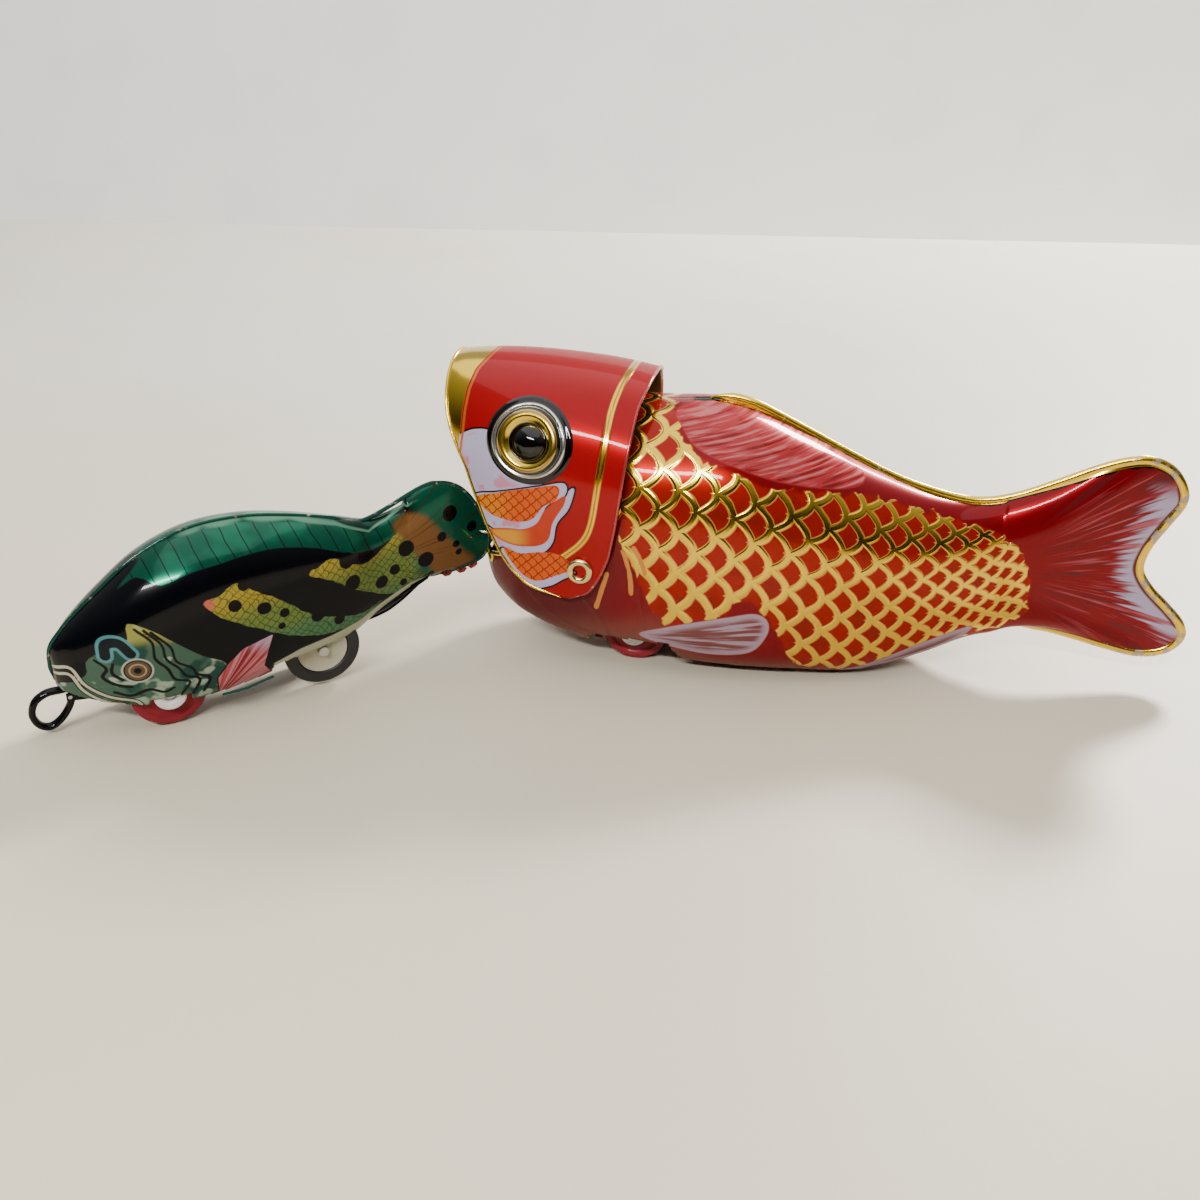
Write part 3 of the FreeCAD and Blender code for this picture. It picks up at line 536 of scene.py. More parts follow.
GLOW = [(-35, 35), (-30, 36.2), (-26, 36.6), (-22.4, 38.6), (-20.1, 42.4), (-15.4, 46.4), (-15.3, 44.3),
        (-18.2, 39.4),
        (-19.4, 35), (-22.4, 32.8), (-28.3, 32), (-32.6, 33)]
BAND_LOW = [(-36.6, 36.4), (-30, 36.6), (-22.8, 38.6), (-20.2, 42.6), (-15, 47), (-12.8, 48.6), (-14.2, 43.4),
            (-17.2, 39.2), (-18.4, 34.2), (-21.6, 31), (-28.3, 30), (-33, 31)]
SCALES_LOW = [(-31.4, 30.8), (-27, 30.2), (-23.3, 31), (-18.9, 31.6), (-15.3, 30.7), (-13.9, 28), (-18, 25.6),
              (-23, 23.6), (-27.4, 25.4)]
BAND_FOOT = [(-32, 30.6), (-26, 29), (-19, 28), (-12.6, 27.4), (-16, 25), (-19.4, 22.8), (-24, 21.8),
             (-28.6, 25)]
COLLAR = [(-1.6, 76), (-2.1, 74), (-4.2, 70.6), (-5.5, 65.5), (-6.1, 58.7), (-7.2, 49.9), (-8.8, 40.2),
          (-11.2, 35.1), (-16.9, 29.9)]


def head_fields_at(points):
    x, z = points[:, 0], points[:, 2]
    lip = front_edge(z, LIP_LINE) - x
    return {"lip": lip, "cheek": area(x, z, CHEEK), "scales_high": area(x, z, SCALES_HIGH),
            "band_high": area(x, z, BAND_HIGH), "glow": area(x, z, GLOW), "band_low": area(x, z, BAND_LOW),
            "scales_low": area(x, z, SCALES_LOW), "band_foot": area(x, z, BAND_FOOT),
            "collar": line_gap(x, z, COLLAR)}


BACK_TIER = [(17, 34.6), (21.4, 37.3), (25.2, 36.1), (31.6, 38), (37.9, 39), (44.7, 39.8), (51.4, 39.6),
             (59.9, 37.6),
             (68.6, 34.1), (75.1, 33), (81, 35), (84, 39), (80, 38.6), (74, 36.6), (66.6, 39.6), (56, 42.7),
             (45.8, 44.4), (36.8, 44.2), (28, 42.4), (23.3, 39.8)]
BACK_EDGE = [(18, 37.4), (23.3, 40.4), (28, 43), (36.8, 44.8), (45.8, 45), (56, 43.3), (66.6, 40.2),
             (74, 37.2),
             (79, 38.6), (86, 42), (94, 43.6)]
BAND_FRONT = [(33, 31.4), (36.8, 32.6), (40.4, 34.6), (44.7, 31.8), (49.9, 28.4), (56.7, 22.7), (64.5, 18.8),
              (72, 17.6), (76, 18.6), (70, 15.6), (62, 15.2), (56.7, 16.4), (49.2, 19.7), (42.5, 23.5),
              (37.5, 26.7)]
BAND_REAR = [(57.4, 32.4), (60, 33.4), (63.5, 34.4), (69.1, 31.1), (74.1, 30.8), (80, 34.4), (86, 38),
             (90.5, 33),
             (93, 25), (91.5, 20), (84, 18.4), (76.9, 20.1), (69.5, 24.2), (63.3, 28.7)]
TAN = [(80.4, 36.6), (83, 38.6), (87, 38.6), (91, 34.4), (97.3, 27.4), (101.6, 22.6), (97, 20.8),
       (91.5, 20.8),
       (88.5, 25), (84, 31)]
CREAM = [(46.8, 6), (47.2, 11.6), (54, 13.6), (62, 14.4), (70, 15.8), (77, 18), (84, 20.6), (90, 21.4),
         (90, 15), (70, 5)]
FACE = [(17.2, 28.8), (21.7, 27), (26.1, 23.3), (31.4, 18.7), (36.2, 15.4), (34.4, 11), (33.4, 4), (2, 4),
        (1, 12),
        (5, 14.6), (7.6, 17), (8, 20.2), (11.4, 23), (13.3, 25.5), (16.6, 25)]
ARC_EYE = [(11.8, 21.6), (12.2, 24.2), (14.8, 24.5), (16.9, 21.8)]
CREASES = [[(18.4, 27.6), (21.4, 24.2), (21.6, 20), (23.8, 17), (25, 14), (28, 12.6), (26, 9.6)],
           [(20.2, 27.2), (23.2, 23.4), (23.8, 19.6), (26.2, 16.6), (27.4, 14.4), (30.2, 12.8), (28.4, 9)],
           [(21.6, 26.6), (25, 22.4), (25.8, 18.6), (28.8, 16.2), (29.8, 14.2), (32.4, 12.6), (30.8, 9)],
           [(12.4, 12.2), (15.6, 11), (19.4, 12.2), (22.4, 11), (24.6, 11.8)],
           [(9.6, 20.6), (11.6, 18.4), (10.6, 16.2), (13, 14.2), (16, 13.4)],
           [(13, 19.6), (12.6, 17.2), (14.4, 15.4)]]
MOUTH = [[(1.6, 17.2), (4.7, 18.0), (6.9, 14), (11, 11), (16, 9.4), (17.4, 8)],
         [(1.6, 15.6), (4.4, 16.2), (6.4, 12.4), (10, 9.6), (14, 8.4)]]
TROUT_FIN = [(34.2, 6), (34.2, 11.8), (36.9, 15.2), (40.5, 18.2), (47.4, 20), (46.0, 16), (44.8, 12),
             (47.2, 8),
             (40, 6)]
TROUT_SPOTS = [(39.7, 29.5, 1.5), (46.1, 27.2, 1.6), (50.6, 24.7, 1.2), (58.5, 21.4, 1.6), (63.9, 18.4, 1.4),
               (49.7, 21.5, 0.9), (42.2, 33.8, 1.3), (66.8, 32.9, 1.9), (67.9, 26.8, 2.0), (76.0, 23.6, 1.7),
               (79.7, 25.8, 1.4), (83, 30.6, 2.1), (88.1, 26.3, 2.1), (89.7, 21.4, 1.0), (82, 21.6, 1.0),
               (95.1, 37, 2.0), (92.6, 31.5, 1.3), (101.2, 32, 1.4), (96.6, 28.4, 1.0), (97.3, 25.9, 0.9)]


def trout_fields(points):
    x, z = points[:, 0], points[:, 2]
    tail_rays = np.arctan2(z - 28.0, x - 74.0)
    fin_rays = np.arctan2(z - 5.0, x - 33.0)
    return {"tier": area(x, z, BACK_TIER), "back_edge": z - np.interp(x, *zip(*BACK_EDGE)),
            "band_front": area(x, z, BAND_FRONT), "band_rear": area(x, z, BAND_REAR), "tan": area(x, z, TAN),
            "cream": area(x, z, CREAM, smooth=0), "face": area(x, z, FACE),
            "arc_eye": line_gap(x, z, ARC_EYE),
            "creases": line_gap(x, z, *CREASES), "mouth": line_gap(x, z, *MOUTH),
            "eye": np.hypot((x - 17.7) / 1.06, z - 17.5), "fin": area(x, z, TROUT_FIN, smooth=0),
            "spots": spots(x, z, TROUT_SPOTS), "tail_rays": tail_rays, "fin_rays": fin_rays}


for shell in carp_shells.values():
    add_fields(shell, carp_fields(carp_grid.reshape(-1, 3), carp_girth.ravel()))
add_fields(head_skin, head_fields_at(head_grid.reshape(-1, 3)))
for shell in trout_shells.values():
    add_fields(shell, trout_fields(trout_grid.reshape(-1, 3)))
for shell in (*carp_shells.values(), head_skin, *trout_shells.values()):
    thicken(shell, 0.45)

# ------------------------------------------------------------------ seam flanges, lips and eyes
CARP_SEAM = [(14.6, 64.0), (17, 65.2), (25, 64.2), (36.7, 58.9), (48.9, 52.9), (61.2, 47.4), (73.2, 44.0),
             (81.3, 43.4), (89, 45.3), (97.4, 49.1), (105.6, 53.1), (111.7, 55.3), (116.4, 55.8), (120.9, 54),
             (123.9, 50.4), (124.8, 46.4), (122.2, 41), (119.2, 35), (118.4, 29.2), (121.2, 24.5),
             (125.9, 20),
             (129.7, 15.9), (130.6, 12.2), (127.4, 8.6), (121.4, 7.4), (114, 8.7), (107, 10.4), (99, 12),
             (91, 12)]


def upright(line, y=0.0):
    line = np.asarray(line, float)
    return np.column_stack([line[:, 0], np.full(len(line), y), line[:, 1]])


def seam_bar(line, count, high, half, taper):
    """A folded seam standing on a line in the fish's middle plane, thin at its two ends."""
    path = upright(smooth_line(line, count))
    share = np.linspace(0, 1, count)
    fade = np.clip(np.minimum(share, 1 - share) / taper, 0.25, 1)
    return tube(path, np.column_stack([high * fade, half * fade]), segments=14)


points, faces = seam_bar(CARP_SEAM, 260, 1.15, 0.85, 0.03)
build("carp_seam", CARP, points, faces, "carp_body", {"along": points[:, 0]})

ridge_x = np.array([1.6, 4, 8, 13.5, 20, 28, 36, 46, 56, 66, 74])
ridge_line = [(x, z) for x, z in zip(ridge_x, cubic(TROUT_STATIONS, ridge_x)[:, 0])]
points, faces = seam_bar([(1.2, 12.6), (1.0, 16)] + ridge_line + TROUT_TAIL_TOP[1:] + TROUT_TAIL_END[1:]
                         + TROUT_TAIL_LOW[-2:0:-1], 240, 0.55, 0.5, 0.02)
build("trout_seam", TROUT, points, faces, "trout", {"along": points[:, 0]})


def edge_roll(name, place, edge, radius, body, fade=0.04):
    share = np.linspace(0, 1, len(edge))
    size = radius * np.clip(np.minimum(share, 1 - share) / fade, 0.3, 1)
    ahead = np.gradient(edge, axis=0)
    ups = np.cross(ahead, np.broadcast_to([1.0, 0.0, 0.0], edge.shape))
    ups = ups / np.maximum(np.linalg.norm(ups, axis=1), 1e-6)[:, None]
    roll_points, roll_faces = tube(edge, np.column_stack([size, size]), segments=10, up=ups)
    return build(name, place, roll_points, roll_faces, body, {"along": roll_points[:, 0]})


mouth_edge = carp_grid[0]
mouth_edge = mouth_edge[(mouth_edge[:, 2] > 23.2) & (mouth_edge[:, 2] < 46)]
mouth_edge = np.concatenate([mirror(mouth_edge, -1), mirror(mouth_edge, 1)[::-1]])
mouth_edge = smooth_line(mouth_edge[::3], 150)
edge_roll("carp_lower_lip", CARP, mouth_edge, 0.55, "carp_body")
lip_edge = smooth_line(head_grid[0][::4], 220)
edge_roll("carp_upper_lip", CARP, lip_edge, 0.42, "head")
collar_edge = smooth_line(head_grid[-1][::4], 220)
edge_roll("carp_head_rim", CARP, collar_edge, 0.36, "head")


def head_surface(x, z):
    """Half width of the head at places in its side view."""
    x = np.asarray(x, float)
    z = np.asarray(z, float)
    top, half, middle = cubic(HEAD_STATIONS, x).T
    rise = np.clip((z - middle) / (top - middle), 0, 0.999)
    return half * (1 - rise ** BACK_POWER) ** (1 / BACK_POWER)


EYE = (-24.4, 57.8)
EYE_WIDE = 10.8
EYE_HIGH = 9.7
# Height of the pressed eye over the cheek, from its centre (0) to its edge (1).
EYE_RELIEF = [(0, 2.3), (0.12, 2.22), (0.24, 1.8), (0.34, 1.05), (0.4, 0.5), (0.44, 0.7), (0.52, 1.5),
              (0.6, 1.75),
              (0.68, 1.45), (0.73, 0.8), (0.76, 0.75), (0.81, 1.0), (0.84, 0.7), (0.87, 0.35), (0.95, 0.3),
              (1, 0.04)]
rings = np.linspace(0, 1, 70)
turns = np.linspace(0, 2 * math.pi, 96, endpoint=False)
eye_x = EYE[0] + EYE_WIDE * np.outer(rings, np.cos(turns))
eye_z = EYE[1] + EYE_HIGH * np.outer(rings, np.sin(turns))
eye_y = head_surface(eye_x.ravel(), eye_z.ravel())
step = 0.2
slope_x = (head_surface(eye_x.ravel() + step, eye_z.ravel()) - eye_y) / step
slope_z = (head_surface(eye_x.ravel(), eye_z.ravel() + step) - eye_y) / step
normal = np.column_stack([-slope_x, np.ones_like(slope_x), -slope_z])
normal /= np.linalg.norm(normal, axis=1)[:, None]
relief = np.repeat(cubic(EYE_RELIEF, rings).ravel(), len(turns))[:, None]
eye_points = np.column_stack([eye_x.ravel(), eye_y, eye_z.ravel()]) + normal * relief
for side, label in ((-1, "left"), (1, "right")):
    faces = grid_faces(len(rings), len(turns), close_columns=True, flip=side < 0)
    build("carp_eye_%s" % label, CARP, eye_points * [1, side, 1], faces, "head",
          {"ring": np.repeat(rings, len(turns))})

# ------------------------------------------------------------------ eyelets, wheels and ring
EYELET = rounded([(1.55, 20.4), (2.0, 20.4), (2.0, 25.9), (3.2, 25.9), (3.2, 26.7), (2.5, 27.15),
                  (1.55, 26.8)], 0.5)
eyelet_parts = []
for side in (-1, 1):
    points, faces = lathe(EYELET, 64)
    eyelet_parts.append((points * [1, side, 1], faces if side > 0 else [face[::-1] for face in faces]))
points, faces = join(*eyelet_parts)
build("cheek_eyelets", CARP @ Matrix.Translation((-11.5, 0, 28)), points, faces, "head",
      nodes=("head_eyelets",))


def wheel_set(name, place, body, profile, nodes, segments=96):
    """Both wheels of an axle from one half profile of (radius, distance from the middle)."""
    parts = []
    for side in (-1, 1):
        wheel_points, wheel_faces = lathe(profile, segments)
        parts.append((wheel_points * [1, side, 1],
                      wheel_faces if side > 0 else [face[::-1] for face in wheel_faces]))
    wheel_points, wheel_faces = join(*parts)
    return build(name, place, wheel_points, wheel_faces, body, nodes=nodes)


def rim_profile(outer, bore, low, high):
    return rounded([(bore, low), (outer, low), (outer, high), (outer - 1.6, high), (outer - 2.2, high - 0.5),
                    (bore + 0.6, high - 0.5), (bore, high - 0.3)], 0.5)


def hub_profile(outer, bore, low, high, tip):
    return rounded([(bore, low), (outer, low), (outer, high), (outer * 0.9, tip), (bore + 0.5, tip),
                    (bore, tip - 0.5)], 0.4)


CARP_FRONT = CARP @ Matrix.Translation((0, 0, 8.4))
CARP_REAR = CARP @ Matrix.Translation((50, 0, 8.4))
TROUT_FRONT = TROUT @ Matrix.Translation((23.7, 0, 8.6))
TROUT_REAR = TROUT @ Matrix.Translation((59.9, 0, 9.5))
wheel_set("carp_front_rims", CARP_FRONT, "carp_front_wheelset",
          rim_profile(8.4, 3.7, 11.3, 14.7),
          ("carp_front_wheels",))
wheel_set("carp_front_bosses", CARP_FRONT, "carp_front_wheelset",
          hub_profile(3.68, 1.2, 11.3, 16.6, 17.7), ("carp_front_hubs",))
wheel_set("carp_rear_rims", CARP_REAR, "carp_rear_wheelset", rim_profile(8.4, 3.7, 8.0, 11.4),
          ("carp_rear_tyres",))
wheel_set("carp_rear_bosses", CARP_REAR, "carp_rear_wheelset",
          hub_profile(3.68, 1.2, 8.0, 11.0, 11.4), ("carp_rear_hubs",))
wheel_set("trout_front_rims", TROUT_FRONT, "trout_front_wheelset",
          rim_profile(8.4, 3.7, 6.0, 9.4),
          ("trout_front_wheels",))
wheel_set("trout_front_bosses", TROUT_FRONT, "trout_front_wheelset",
          hub_profile(3.68, 1.2, 6.0, 10.7, 11.4), ("trout_front_hubs",))
TYRE = rounded([(6.1, 4.6), (9.2, 4.6), (9.2, 7.2), (6.1, 7.2)], 0.8)
wheel_set("trout_rear_rubbers", TROUT_REAR, "trout_rear_wheelset", TYRE,
          ("trout_rear_tyres",))
wheel_set("trout_rear_discs", TROUT_REAR, "trout_rear_wheelset",
          rounded([(1.2, 4.6), (6.08, 4.6), (6.08, 7.0), (5.2, 6.8), (2.2, 6.7), (1.6, 7.1), (1.2, 7.1)],
                  0.3),
          ("trout_rear_hubs",))

RING = [(4.1, 9.3), (1.6, 9.7), (-1.2, 9.5), (-3.7, 7.8), (-4.7, 4.6), (-3.6, 1.7), (-1.3, 0.8), (1.4, 2.6),
        (3.6, 6)]
points, faces = tube(upright(smooth_line(RING, 97, closed=True)[:-1]), (0.8, 1.2), segments=16, closed=True)
build("pull_loop", TROUT, points, faces, "ring", nodes=("pull_ring",))

# The black pan under the trout shows at its chin and under its tail stalk.
PAN = [(6.4, 11.2), (8, 8.2), (10.4, 6.2), (14, 5.6), (18, 7.2), (24, 9.6), (38, 10.4), (52, 11.8),
       (64, 12.0),
       (73, 12.2), (80, 14.2), (86, 17.6), (89, 20)]
pan_line = smooth_line(PAN, 90)
pan_half = np.interp(pan_line[:, 0], [6.4, 9, 16, 26, 50, 66, 78, 89],
                     [2.6, 5.0, 5.4, 4.0, 3.6, 4.2, 3.6, 1.4])
across = np.linspace(-1, 1, 15)
pan_points = np.stack([np.column_stack([np.full(15, x), across * half, z + 0.9 * np.abs(across) ** 3])
                       for (x, z), half in zip(pan_line, pan_half)])
pan = build("trout_pan", TROUT, pan_points.reshape(-1, 3), grid_faces(90, 15), "trout")
pan.modifiers.new("tin", "SOLIDIFY").thickness = 0.4 * MM

tab_parts = []
for x, z, turn in ((94.6, 20.2, 0.0), (98.6, 20.3, 0.1), (101.6, 21.0, 0.3)):
    path = np.array([(x - 1.1, 0, z - 0.2), (x - 0.5, 0, z - 0.9), (x + 0.5, 0, z - 0.9 + turn),
                     (x + 1.1, 0, z - 0.2 + turn)])
    tab_parts.append(tube(path, (0.5, 1.0), segments=10))
points, faces = join(*tab_parts)
build("trout_tail_tabs", TROUT, points, faces, "trout")
slit_parts = []
for side in (-1, 1):
    path = smooth_line([(34.6, side * 12.6, 7.0), (40, side * 12.75, 7.4), (46.6, side * 12.1, 8.5)], 20)
    slit_parts.append(tube(path, (0.28, 0.4), segments=8))
points, faces = join(*slit_parts)
build("trout_fin_slits", TROUT, points, faces, "trout", {"along": points[:, 0]})

# ------------------------------------------------------------------ materials
class Value:
    """A number in a material's nodes, so that patterns are written as arithmetic."""

    def __init__(self, tree, socket):
        self.tree = tree
        self.socket = socket

    def math(self, kind, *others):
        node = self.tree.nodes.new("ShaderNodeMath")
        node.operation = kind
        for place, item in enumerate((self,) + others):
            if isinstance(item, Value):
                self.tree.links.new(item.socket, node.inputs[place])
            else:
                node.inputs[place].default_value = item
        return Value(self.tree, node.outputs[0])

    def __add__(self, other):
        return self.math("ADD", other)

    def __sub__(self, other):
        return self.math("SUBTRACT", other)

    def __mul__(self, other):
        return self.math("MULTIPLY", other)

    def __truediv__(self, other):
        return self.math("DIVIDE", other)

    def __neg__(self):
        return self * -1.0

    def size(self):
        return self.math("ABSOLUTE")

    def root(self):
        return self.math("SQRT")

    def low(self, other):
        return self.math("MINIMUM", other)

    def high(self, other):
        return self.math("MAXIMUM", other)

    def nearest_whole(self):
        return self.math("ROUND")

    def ramp(self, start, end):
        """0 at start, 1 at end, smooth between; start may be above end."""
        node = self.tree.nodes.new("ShaderNodeMapRange")
        node.interpolation_type = "SMOOTHSTEP"
        self.tree.links.new(self.socket, node.inputs[0])
        if start < end:
            node.inputs[1].default_value = start
            node.inputs[2].default_value = end
        else:
            node.inputs[1].default_value = end
            node.inputs[2].default_value = start
            node.inputs[3].default_value = 1.0
            node.inputs[4].default_value = 0.0
        return Value(self.tree, node.outputs[0])


class Paint:
    """A material under construction: layers of colour and metal over a principled shader."""

    def __init__(self, name, base, roughness=0.3, metal=0.0, coat=0.0):
        self.material = bpy.data.materials.new(name)
        self.material.use_nodes = True
        self.tree = self.material.node_tree
        self.shader = self.tree.nodes["Principled BSDF"]
        self.shader.inputs["Roughness"].default_value = roughness
        self.shader.inputs["Metallic"].default_value = metal
        self.shader.inputs["Base Color"].default_value = (*base, 1)
        self.shader.inputs["Coat Weight"].default_value = coat
        self.shader.inputs["Specular IOR Level"].default_value = 0.5 - 0.5 * min(coat * 4, 1)
        self.shader.inputs["Coat Roughness"].default_value = 0.04
        self.colour = (*base, 1)
        self.metal = metal
        self.rough = roughness
        self.place = self.tree.nodes.new("ShaderNodeTexCoord").outputs["Object"]

    def field(self, name):
        node = self.tree.nodes.new("ShaderNodeAttribute")
        node.attribute_name = name
        return Value(self.tree, node.outputs["Fac"])

    def noise(self, scale, detail=3.0, stretch=(1, 1, 1), rough=0.5):
        """Noise in object space, scale per millimetre, centred on 0."""
        mapping = self.tree.nodes.new("ShaderNodeMapping")
        mapping.inputs["Scale"].default_value = [scale / MM * share for share in stretch]
        self.tree.links.new(self.place, mapping.inputs["Vector"])
        return self._noise(mapping.outputs[0], detail, rough)

    def noise_at(self, x, y, detail=2.0, rough=0.5):
        """Noise over two values."""
        join_node = self.tree.nodes.new("ShaderNodeCombineXYZ")
        for place, value in enumerate((x, y)):
            self.tree.links.new(value.socket, join_node.inputs[place])
        return self._noise(join_node.outputs[0], detail, rough)

    def _noise(self, vector, detail, rough):
        node = self.tree.nodes.new("ShaderNodeTexNoise")
        node.inputs["Scale"].default_value = 1.0
        node.inputs["Detail"].default_value = detail
        node.inputs["Roughness"].default_value = rough
        self.tree.links.new(vector, node.inputs["Vector"])
        return Value(self.tree, node.outputs[0]) - 0.5

    def _mix(self, under, over, share, kind):
        node = self.tree.nodes.new("ShaderNodeMix")
        node.data_type = kind
        first = 6 if kind == "RGBA" else 2
        self.tree.links.new(share.socket, node.inputs[0])
        for place, item in ((first, under), (first + 1, over)):
            if isinstance(item, bpy.types.NodeSocket):
                self.tree.links.new(item, node.inputs[place])
            else:
                node.inputs[place].default_value = item
        return node.outputs[2 if kind == "RGBA" else 0]

    def layer(self, share, colour, metal=None, rough=None):
        """Lays a colour over what is there, where share is 1."""
        self.colour = self._mix(self.colour, (*colour, 1), share, "RGBA")
        if metal is not None:
            self.metal = self._mix(self.metal, metal, share, "FLOAT")
        if rough is not None:
            self.rough = self._mix(self.rough, rough, share, "FLOAT")
        return self

    def bump(self, height, depth):
        """Raises the surface by depth millimetres where height is 1."""
        node = self.tree.nodes.new("ShaderNodeBump")
        node.inputs["Distance"].default_value = depth * MM
        node.inputs["Strength"].default_value = 1.0
        self.tree.links.new(height.socket, node.inputs["Height"])
        self.tree.links.new(node.outputs[0], self.shader.inputs["Normal"])
        return self

    def done(self):
        for item, name in ((self.colour, "Base Color"), (self.metal, "Metallic"), (self.rough, "Roughness")):
            if isinstance(item, bpy.types.NodeSocket):
                self.tree.links.new(item, self.shader.inputs[name])
        return self.material


GOLD = (0.72, 0.48, 0.035)
PEACH = (0.52, 0.19, 0.04)
RED = (0.27, 0.004, 0.006)
CELL_RED = (0.26, 0.008, 0.003)
LAVENDER = (0.37, 0.33, 0.46)
INK = (0.0015, 0.0012, 0.0015)


def inside(field, soft=0.12):
    return field.ramp(-soft, soft)


def stroke(gap, half, soft=0.12):
    """1 within half a width of a line."""
    return gap.ramp(half + soft, half - soft)


def fish_scales(column, row, column_size, row_size):
    """How surely a place lies on the arcs of a scale net; arcs bulge towards the tail."""
    nearest = None
    for shift in (0.0, 0.5):
        across = row - shift
        across = across - across.nearest_whole()
        along = column - 2 * shift + across * across * 3.6
        along = along - (along * 0.5).nearest_whole() * 2.0
        steep = across * 7.2
        flat = column_size.math("POWER", -2.0) if isinstance(column_size, Value) else column_size ** -2
        grade = (steep / row_size) * (steep / row_size) + flat
        gap = along.size() / grade.root()
        nearest = gap if nearest is None else nearest.low(gap)
    return nearest


def lacquer(name, base, metal=0.4):
    return Paint(name, base, roughness=0.26, metal=metal, coat=0.3)


def carp_body_paint():
    paint = lacquer("carp_body_litho", (0.165, 0.003, 0.006))
    along, height, girth = paint.field("along"), paint.field("height"), paint.field("girth")
    mottle = paint.noise(0.05, 3)
    paint.layer((along + mottle * 14).ramp(4, -14), (0.09, 0.010, 0.011), 0.15)
    paint.layer((height - along * 0.25 + mottle * 8).ramp(20, 8) * along.ramp(24, 4), (0.17, 0.055, 0.038),
                0.05)
    paint.layer((height + mottle * 5).ramp(9, 2) * along.ramp(-8, 6), (0.18, 0.05, 0.035), 0.05)
    fold = paint.field("folds")
    paint.layer(stroke(fold, 0.25, 0.5) * 0.45, (0.12, 0.03, 0.03))
    net_area = paint.field("net") + paint.noise(0.35, 2) * 3.2
    paint.layer(inside(net_area, 0.6) * along.ramp(-4, 0), CELL_RED, 0.35)
    cell_shade = paint.noise(0.12, 2)
    paint.layer(cell_shade.ramp(0.0, 0.2) * inside(net_area, 0.6) * 0.5, (0.14, 0.010, 0.003), 0.35)
    gap = fish_scales(paint.field("column") + paint.noise(0.12, 2) * 0.22,
                      paint.field("row") + paint.noise(0.1, 2) * 0.14,
                      paint.field("column_size"), paint.field("row_size"))
    half = along.ramp(0, 95) * -0.45 + 1.12 + paint.noise(0.3, 2) * 0.5
    inner = (half - gap)
    shown = inside(net_area, 0.25)
    paint.layer(inside(inner, 0.09) * shown, PEACH, 0.35)
    paint.layer(inside(inner - 0.2, 0.06) * shown, GOLD, 1.0, 0.17)
    gills = paint.field("gills") + paint.noise(0.4, 2) * 0.5
    paint.layer(stroke(gills, 0.55), PEACH, 0.5)
    streak = paint.noise_at(along * 0.10, height * 1.5 - along * 0.25, 3)
    dorsal = paint.field("dorsal")
    paint.layer(inside(dorsal), (0.30, 0.024, 0.028), 0.15)
    paint.layer(inside(dorsal) * streak.ramp(0.0, 0.14) * 0.85, (0.42, 0.12, 0.12), 0.1)
    paint.layer(inside(dorsal) * streak.ramp(-0.03, -0.12) * 0.85, (0.12, 0.006, 0.006), 0.1)
    paint.layer(stroke((dorsal).size(), 0.16) * 0.7, (0.25, 0.02, 0.02))
    for name, root_x, root_z in (("pectoral", -8.0, 10.0), ("anal", 40.0, -2.0)):
        fin = paint.field(name)
        ray = (height - root_z).math("ARCTAN2", along - root_x)
        rays = paint.noise_at(ray * 26.0, along * 0.05, 2)
        paint.layer(inside(fin), (0.30, 0.21, 0.25), 0.05)
        paint.layer(inside(fin - 0.3) * rays.ramp(-0.10, 0.03) * fin.ramp(0.5, 2.4) * 0.9,
                    (0.13, 0.025, 0.016), 0.05)
        paint.layer(stroke(fin.size(), 0.14) * 0.5, (0.3, 0.06, 0.06))
    tail = along.ramp(90, 97)
    tail_ray = (height - 29.0).math("ARCTAN2", along - 82.0)
    rays = paint.noise_at(tail_ray * 30.0, along * 0.045, 3)
    gap_end = paint.field("tail_gap")
    paint.layer(tail * rays.ramp(0.02, 0.16) * gap_end.ramp(24, 5) * 0.7, (0.36, 0.11, 0.14), 0.15)
    paint.layer(tail * rays.ramp(-0.01, -0.12) * gap_end.ramp(34, 14) * 0.85, (0.075, 0.010, 0.012), 0.2)
    paint.layer(tail * (gap_end + rays * 22.0).ramp(6.0, 2.0) * height.ramp(52, 46), (0.33, 0.27, 0.37), 0.05)
    paint.layer(tail * gap_end.ramp(1.5, 0.9), (0.10, 0.02, 0.02), 0.1)
    black = girth - (paint.noise(0.5, 2) * 1.6 + 1.9)
    paint.layer(inside(-black, 0.15) * along.ramp(10, 12), INK, 0.0)
    paint.layer(inside(girth * -1.0 + 1.4, 0.1) * along.ramp(17, 19), GOLD, 1.0, 0.16)
    paint.bump((gap.ramp(0.9, 0.3) * shown) - stroke(fold, 0.5, 0.7) * 2.4, 0.10)
    return paint.done()


